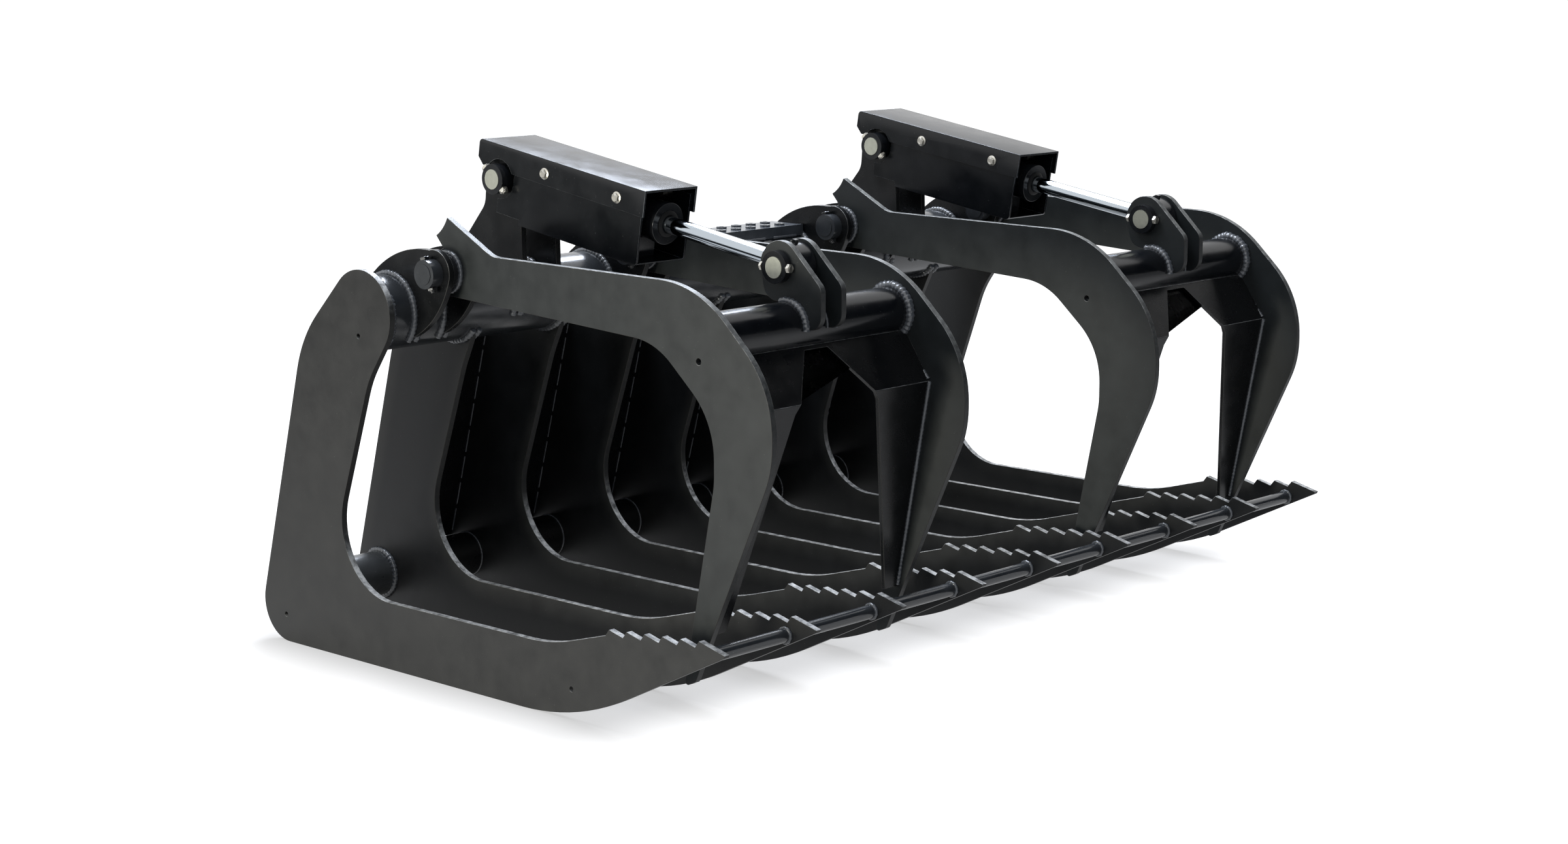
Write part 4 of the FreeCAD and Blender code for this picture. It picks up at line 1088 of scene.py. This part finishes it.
@dataclass
class Grapple(SidedAssembly):
    """One moving grapple: arms, hubs, cross tube, web and the rod's ears."""

    bead: float = 5.6 * MM
    web_bead: float = 4.48 * MM
    root_bead: float = 3.36 * MM
    ear_bead: float = 7.5 * MM
    inner_bead: float = 3.0 * MM
    end_bead: float = 9.5 * MM
    ring_off: float = 0.3
    web_off: float = 0.56 * MM
    ear_span: tuple[float, float] = (70.0, 185.0)
    inner_span: tuple[float, float] = (150.0, 185.0)
    web_stitch: float = 20.0 * MM
    web_gap: float = 9.0 * MM
    web_bend: float = 0.815
    web_lean: float = 10.4
    notch_half: float = 32.0 * MM
    ear_corner: float = 26.0 * MM
    ear_corner_faces: int = 6
    blunt: float = 12.0
    broad: float = 20.0 * MM

    @property
    def body(self) -> str:
        """The body's name."""
        return self.node("grapple")

    def build(self) -> None:
        """Dress, weld and bolt the grapple."""
        self.dress_nodes()
        self.round_ears()
        self.weld()
        self.bolt()

    def dress_nodes(self) -> None:
        """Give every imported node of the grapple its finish."""
        dress_all((
            ("arm_{}_outer arm_{}_inner rod_ears_{}", Finish.PLATE, Finish.EDGE, Corner.PLATE),
            ("web_{}", Finish.SHEET, Finish.EDGE, Corner.PLATE),
            ("cross_tube_{}", Finish.TUBE, None, Corner.NONE),
            ("pivot_hubs_{}", Finish.PIN, None, Corner.TURNED),
            ("rod_collars_{}", Finish.PIN, None, Corner.COLLAR),
            ("rod_pin_{}", Finish.PLATED_PIN, None, Corner.PIN),
        ), self.side.value)

    def weld(self) -> None:
        """Lay the grapple's beads."""
        names = (f"arm_{self.side.value}_outer", f"arm_{self.side.value}_inner")
        left, right = sorted((solids_of(name)[0] for name in names), key=lambda solid: solid.low.x)
        layer = WeldLayer(self.node("welds_grapple"), self.body)
        tube = Round.of(self.node("cross_tube"))
        layer.arc(tube, left.high.x + self.end_bead * self.ring_off, FULL_TURN, self.end_bead)
        layer.arc(tube, right.low.x - self.end_bead * self.ring_off, FULL_TURN, self.end_bead)
        hub = Round.of(self.node("pivot_hubs"))
        for arm in (left, right):
            layer.both_faces(hub, arm, FULL_TURN, self.bead)
        first_ear, last_ear = solids_of(self.node("rod_ears"))
        layer.arc(tube, first_ear.low.x - self.ear_bead * layer.beside, self.ear_span, self.ear_bead)
        layer.arc(tube, last_ear.high.x + self.ear_bead * layer.beside, self.ear_span, self.ear_bead)
        for across in (first_ear.high.x, last_ear.low.x):
            layer.arc(tube, across, self.inner_span, self.inner_bead)
        self._weld_web(layer, left.high.x, right.low.x)
        layer.build()

    def _weld_web(self, layer: WeldLayer, start: float, end: float) -> None:
        """Lay the web's beads: down its two sides and along its root, beside the notch.

        Args:
            layer: The grapple's beads.
            start: The place of the left arm's inner face along X.
            end: The right arm's.
        """
        low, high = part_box(self.node("web"))
        for across, way in ((start, 1), (end, -1)):
            spot = across + way * self.web_off
            top = Vector((spot, high.y - 6 * MM, high.z - 2 * MM))
            bend = Vector((spot, low.y, low.z + (high.z - low.z) * self.web_bend))
            layer.stitches(top, bend, self.web_bead, self.web_stitch, self.web_gap)
            slope = (bend.z - low.z) * math.tan(math.radians(self.web_lean))
            layer.line([bend, Vector((spot, low.y + slope, low.z + 4 * MM))], self.web_bead)
        middle = (start + end) / 2
        root = Vector((0, high.y - 8 * MM, high.z + 1 * MM))
        for first, last in ((start + 3 * MM, middle - self.notch_half),
                            (middle + self.notch_half, end - 3 * MM)):
            layer.line([root + Vector((first, 0, 0)), root + Vector((last, 0, 0))], self.root_bead)

    def round_ears(self) -> None:
        """Copy the rod's ears with their blunt corners rounded, and let the copy stand for them."""
        name = self.node("rod_ears")
        mesh = flat_copy(name)
        corners = []
        for edge in mesh.edges:
            run = edge.verts[1].co - edge.verts[0].co
            is_across = abs(run.x) > 0.99 * run.length
            if is_across and edge.is_convex and edge.calc_face_angle() > math.radians(self.blunt):
                if all(face.calc_area() > self.broad ** 2 for face in edge.link_faces):
                    corners.append(edge)
        round_edges(mesh, corners, self.ear_corner, self.ear_corner_faces)
        piece = finished_copy(self.node("rod_ears_rounded"), mesh, Finish.PLATE, Finish.EDGE, Corner.PLATE)
        hand_over(piece, COAT_SLOT, self.body, f"{len(corners)} corners rounded", name)

    def bolt(self) -> None:
        """Set the rod pin's cross bolt."""
        node = self.node("rod_pin_bolt")
        spots = [(solid.middle, Vector((0, -1, 0))) for solid in solids_of(node)]
        bolt = Fastener(8 * MM, 15 * MM, 6.6 * MM, 29.5 * MM)
        bolt.set_at(self.node("rod_cross_bolt"), spots, self.body, node)


@dataclass
class Cylinder(SidedAssembly):
    """One hydraulic cylinder: barrel, rod, guard and cover."""

    fold: float = 8.0 * MM
    fold_reach: float = 9.2 * MM
    fold_faces: int = 5
    # Which fold faces get the painted highlight, by how far they look up.
    pale_from: float = 0.6
    pale_to: float = 0.85
    near: float = 0.01 * MM
    gland_end: float = 392.0 * MM
    rod_half: float = 16.0 * MM
    bolt_sunk: float = 7.0 * MM
    bolt_reach: float = 10.0 * MM

    @property
    def body(self) -> str:
        """The body that the barrel, guard and cover move with."""
        return self.node("barrel")

    def build(self) -> None:
        """Dress the cylinder, fold its guard and cover, and add the wiper and the bolts."""
        self.dress_nodes()
        self.fold_sheet("cylinder_guard", is_top=False)
        self.fold_sheet("guard_cover", is_top=True)
        self.wiper()
        self.bolt()

    def dress_nodes(self) -> None:
        """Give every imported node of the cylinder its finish."""
        dress_all((
            ("barrel_{}", Finish.PIN, None, Corner.FINE),
            ("base_eye_{} gland_{} rod_eye_{}", Finish.PIN, None, Corner.TURNED),
            ("cylinder_guard_{} guard_cover_{}", Finish.GUARD, None, Corner.NONE),
            ("cylinder_rod_{}", Finish.CHROME, None, Corner.NONE),
        ), self.side.value)

    def line(self) -> tuple[Vector, Vector, Vector]:
        """Find the cylinder's own line.

        Returns:
            The base pin's place, the way to the rod's pin and the way up from that line.
        """
        base, tip = Round.of("base_pins"), Round.of(self.node("rod_pin"))
        across = sum(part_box(self.node("rod_pin")), Vector()).x / 2
        start = Vector((across, base.back, base.up))
        along = (Vector((across, tip.back, tip.up)) - start).normalized()
        return start, along, Vector((0, along.z, -along.y))

    def fold_sheet(self, stem: str, is_top: bool) -> None:
        """Copy a packed sheet with its long folds rounded, and let the copy stand for the node.

        Args:
            stem: The node's name without its side.
            is_top: Whether the folds are at the sheet's top or at its foot.
        """
        start, along, upward = self.line()
        mesh = flat_copy(self.node(stem))
        half = max(abs(vertex.co.x - start.x) for vertex in mesh.verts)
        rises = [(vertex.co - start).dot(upward) for vertex in mesh.verts]
        foot, top = min(rises), max(rises)
        rear = min((vertex.co - start).dot(along) for vertex in mesh.verts)

        def is_on_fold(vertex: BMVert) -> bool:
            """Tell whether a vertex lies on a fold's line, or on the cover's turn at its rear.

            Args:
                vertex: The vertex.

            Returns:
                Whether it does.
            """
            spot = vertex.co - start
            rise = spot.dot(upward)
            if abs(abs(spot.x) - half) > self.near:
                return False
            if is_top:
                return rise > top - self.fold_reach or spot.dot(along) < rear + 10 * self.near
            return rise < foot + self.fold_reach

        folds = [edge for edge in mesh.edges if all(is_on_fold(vertex) for vertex in edge.verts)]
        round_edges(mesh, folds, self.fold, self.fold_faces)
        # Painted highlight: the fold faces that look partly up take the pale guard-edge finish.
        if is_top:
            for face in mesh.faces:
                if self.pale_from < face.normal.dot(upward) < self.pale_to:
                    face.material_index = 1
        piece = finished_copy(f"{stem}_folded_{self.side.value}", mesh, Finish.GUARD, Finish.GUARD_EDGE,
                              Corner.SHEET)
        for vertex in piece.data.vertices:
            vertex.co -= upward * max(0.0, (vertex.co - start).dot(upward) - top)
        hand_over(piece, "guard_coating", self.body, f"{len(folds)} folds rounded", self.node(stem))

    def wiper(self) -> None:
        """Make the rod's rubber wiper in the gland's end."""
        start, along, _ = self.line()
        mesh = bmesh.new()
        profile = ((0, -3.0), (9.0, -3.0), (9.0, 1.5), (6.0, 3.0), (2.0, 3.5), (0, 1.5), (0, -3.0))
        turn(mesh, [(self.rod_half + out * MM, self.gland_end + past * MM) for out, past in profile], 32,
             start, along)
        bmesh.ops.recalc_face_normals(mesh, faces=mesh.faces)
        piece = link_mesh(self.node("rod_wiper"), mesh, Finish.RUBBER.material)
        give_tree(piece, Trees.smooth())
        settle(piece)
        hand_over(piece, BLACK_SLOT, self.body, "made")

    def bolt(self) -> None:
        """Set the cover's four flange bolts."""
        node = self.node("cover_bolts")
        middle = sum(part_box(self.node("guard_cover")), Vector()).x / 2
        spots = []
        for solid in solids_of(node):
            way = 1 if solid.middle.x > middle else -1
            seat = solid.high.x - self.bolt_sunk if way > 0 else solid.low.x + self.bolt_sunk
            spot = Vector((seat - way * self.bolt_reach, solid.middle.y, solid.middle.z))
            spots.append((spot, Vector((way, 0, 0))))
        bolt = Fastener(10 * MM, 15 * MM, 6.5 * MM, self.bolt_reach, flange=22 * MM, nut=False)
        bolt.set_at(self.node("cover_flange_bolts"), spots, self.body, node)


@dataclass(frozen=True)
class Softbox:
    """A rectangular soft light: where it hangs and points, its width and height, watts and colour."""

    name: str
    place: Triple
    target: Triple
    size: tuple[float, float]
    power: float
    colour: str

    def hang(self) -> None:
        """Hang the light."""
        light = bpy.data.lights.new(self.name, "AREA")
        light.shape = "RECTANGLE"
        light.size, light.size_y = self.size
        light.energy = self.power
        light.color = linear(self.colour)[:3]
        lamp = bpy.data.objects.new(self.name, light)
        lamp.location = self.place
        lamp.rotation_euler = (Vector(self.target) - Vector(self.place)).to_track_quat("-Z", "Y").to_euler()
        bpy.context.scene.collection.objects.link(lamp)


@dataclass(frozen=True)
class Studio:
    """Camera, pale floor and soft light."""

    camera_place: Triple = (-4.0813, -3.6763, 1.3651)
    camera_turn: float = -47.478
    camera_dip: float = 10.183
    lens_mm: float = 62.64
    sensor_mm: float = 36.0
    sight: float = 400.0
    sky_colour: str = "#DCE8FA"
    ambient: float = 0.45
    floor_half: float = 90.0
    floor_colour: str = "#918D88"
    floor_grain: float = 0.1 * MM
    # The floor's glow over the object's footprint, which paints a soft contact shadow, and how far out it
    # fades.
    under_glow: float = 0.5
    open_glow: float = 1.0
    glow_fade: float = 0.24
    mirrored_near: float = 0.4
    mirrored_far: float = 0.15
    near: float = 1.4
    far: float = 4.5
    footprint_middle: Triple = (0.0, 0.12, 0.0)
    footprint_half: Triple = (0.88, 0.42, 1.0)
    flag: tuple[Triple, ...] = ((-3.0, -6.0, 0.7), (8.0, -3.4, 0.7), (8.0, -3.4, 11.0), (-3.0, -6.0, 11.0))
    softboxes: tuple[Softbox, ...] = (
        Softbox("overhead_softbox", (-0.2, 0.9, 3.4), (0.0, 0.0, 0.4), (2.6, 0.9), 85.0, "#E6EFFF"),
        Softbox("back_softbox", (1.9, 2.2, 3.9), (0.0, 0.0, 0.4), (2.2, 1.5), 220.0, "#E6EFFF"),
        Softbox("left_softbox", (-4.7, 0.5, 0.4), (-0.3, -0.3, 0.15), (1.3, 0.9), 112.0, "#FFFDF2"),
    )

    def build(self) -> None:
        """Build the studio."""
        self._camera()
        self._world()
        self._floor()
        self._flag()
        for softbox in self.softboxes:
            softbox.hang()
        bpy.context.scene.view_settings.view_transform = "Standard"

    def _camera(self) -> None:
        """Set the camera at the measured viewpoint."""
        lens = bpy.data.cameras.new("camera")
        lens.sensor_width = self.sensor_mm
        lens.lens = self.lens_mm
        lens.clip_end = self.sight
        camera = bpy.data.objects.new("camera", lens)
        camera.location = self.camera_place
        camera.rotation_euler = (math.radians(90 - self.camera_dip), 0, math.radians(self.camera_turn))
        bpy.context.scene.collection.objects.link(camera)
        bpy.context.scene.camera = camera

    @staticmethod
    def _seen(tree: NodeTree) -> Node:
        """Find the rays that see the background: camera, glossy and transmission rays.

        Args:
            tree: The tree.

        Returns:
            A node that gives 1 for them and 0 for others.
        """
        rays = add_node(tree, "ShaderNodeLightPath").outputs
        either = add_node(tree, "ShaderNodeMath", {0: rays["Is Camera Ray"], 1: rays["Is Glossy Ray"]},
                          operation="MAXIMUM")
        return add_node(tree, "ShaderNodeMath", {0: either, 1: rays["Is Transmission Ray"]},
                        operation="MAXIMUM")

    def _world(self) -> None:
        """Light the object evenly and show a white background."""
        world = bpy.data.worlds.new("studio")
        bpy.context.scene.world = world
        tree = empty_tree(world)
        even = add_node(tree, "ShaderNodeBackground", {
            "Color": linear(self.sky_colour), "Strength": self.ambient})
        white = add_node(tree, "ShaderNodeBackground", {"Color": linear("#FFFFFF"), "Strength": 1.0})
        mixed = add_node(tree, "ShaderNodeMixShader", {0: self._seen(tree), 1: even, 2: white})
        add_node(tree, "ShaderNodeOutputWorld", {"Surface": mixed})

    def _floor(self) -> None:
        """Lay a pale floor that keeps the object's shadow.

        It glows for the rays that see the background: white in the open for the camera, less under the
        object's footprint, which paints a soft contact shadow there, and dim in reflections.
        """
        mesh = bmesh.new()
        bmesh.ops.create_grid(mesh, x_segments=2, y_segments=2, size=self.floor_half)
        material = bpy.data.materials.new("pale_paper_floor")
        tree = empty_tree(material)
        spot = add_node(tree, "ShaderNodeTexCoord").outputs["Object"]
        grain = add_node(tree, "ShaderNodeTexNoise", {"Vector": spot, "Scale": 300.0, "Detail": 2.0})
        bump = add_node(tree, "ShaderNodeBump", {
            "Strength": 0.1, "Distance": self.floor_grain, "Height": grain})
        matt = add_node(tree, "ShaderNodeBsdfDiffuse", {"Color": linear(self.floor_colour), "Normal": bump})
        # Painted shadow: the camera's glow is lowest over the footprint box and fades up to open_glow beyond
        # it.
        outside = spot
        for operation, second in (("SUBTRACT", self.footprint_middle), ("ABSOLUTE", None),
                                  ("SUBTRACT", self.footprint_half), ("MAXIMUM", (0.0, 0.0, 0.0))):
            inputs = {0: outside} if second is None else {0: outside, 1: second}
            outside = add_node(tree, "ShaderNodeVectorMath", inputs, operation=operation)
        away, centre = (add_node(tree, "ShaderNodeVectorMath", {0: place}, operation="LENGTH")
                        for place in (outside, spot))
        glow_with_painted_shadow = add_node(tree, "ShaderNodeMapRange", {
            "Value": away, "From Max": self.glow_fade, "To Min": self.under_glow, "To Max": self.open_glow},
            interpolation_type="SMOOTHSTEP")
        mirrored = add_node(tree, "ShaderNodeMapRange", {
            "Value": centre, "From Min": self.near, "From Max": self.far, "To Min": self.mirrored_near,
            "To Max": self.mirrored_far})
        rays = add_node(tree, "ShaderNodeLightPath").outputs
        glow = add_node(tree, "ShaderNodeMix", {0: rays["Is Camera Ray"], 2: mirrored, 3: glow_with_painted_shadow},
                        data_type="FLOAT")
        share = add_node(tree, "ShaderNodeMath", {0: self._seen(tree), 1: glow}, operation="MULTIPLY")
        light = add_node(tree, "ShaderNodeEmission", {"Strength": share})
        both = add_node(tree, "ShaderNodeAddShader", {0: matt, 1: light})
        add_node(tree, "ShaderNodeOutputMaterial", {"Surface": both})
        link_mesh("studio_floor", mesh, material)

    def _flag(self) -> None:
        """Hang a black flag in front and to the right, so that gloss on that side stays dark."""
        mesh = bmesh.new()
        mesh.faces.new([mesh.verts.new(corner) for corner in self.flag])
        material = bpy.data.materials.new("black_velvet")
        tree = empty_tree(material)
        weave = add_node(tree, "ShaderNodeTexNoise", {"Scale": 800.0})
        shade = add_node(tree, "ShaderNodeMapRange", {"Value": weave, "To Min": 0.004, "To Max": 0.012})
        cloth = add_node(tree, "ShaderNodeBsdfDiffuse", {"Color": shade})
        add_node(tree, "ShaderNodeOutputMaterial", {"Surface": cloth})
        flag = link_mesh("studio_flag", mesh, material)
        flag.visible_camera = flag.visible_diffuse = flag.visible_shadow = False


def main() -> None:
    """Build the studio and every sub-assembly."""
    logging.basicConfig(level=logging.INFO, format="%(message)s")
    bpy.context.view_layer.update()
    Studio().build()
    Bucket().build()
    for side in Side:
        Grapple(side).build()
        Cylinder(side).build()
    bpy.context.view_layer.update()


if __name__ == "__main__":
    main()
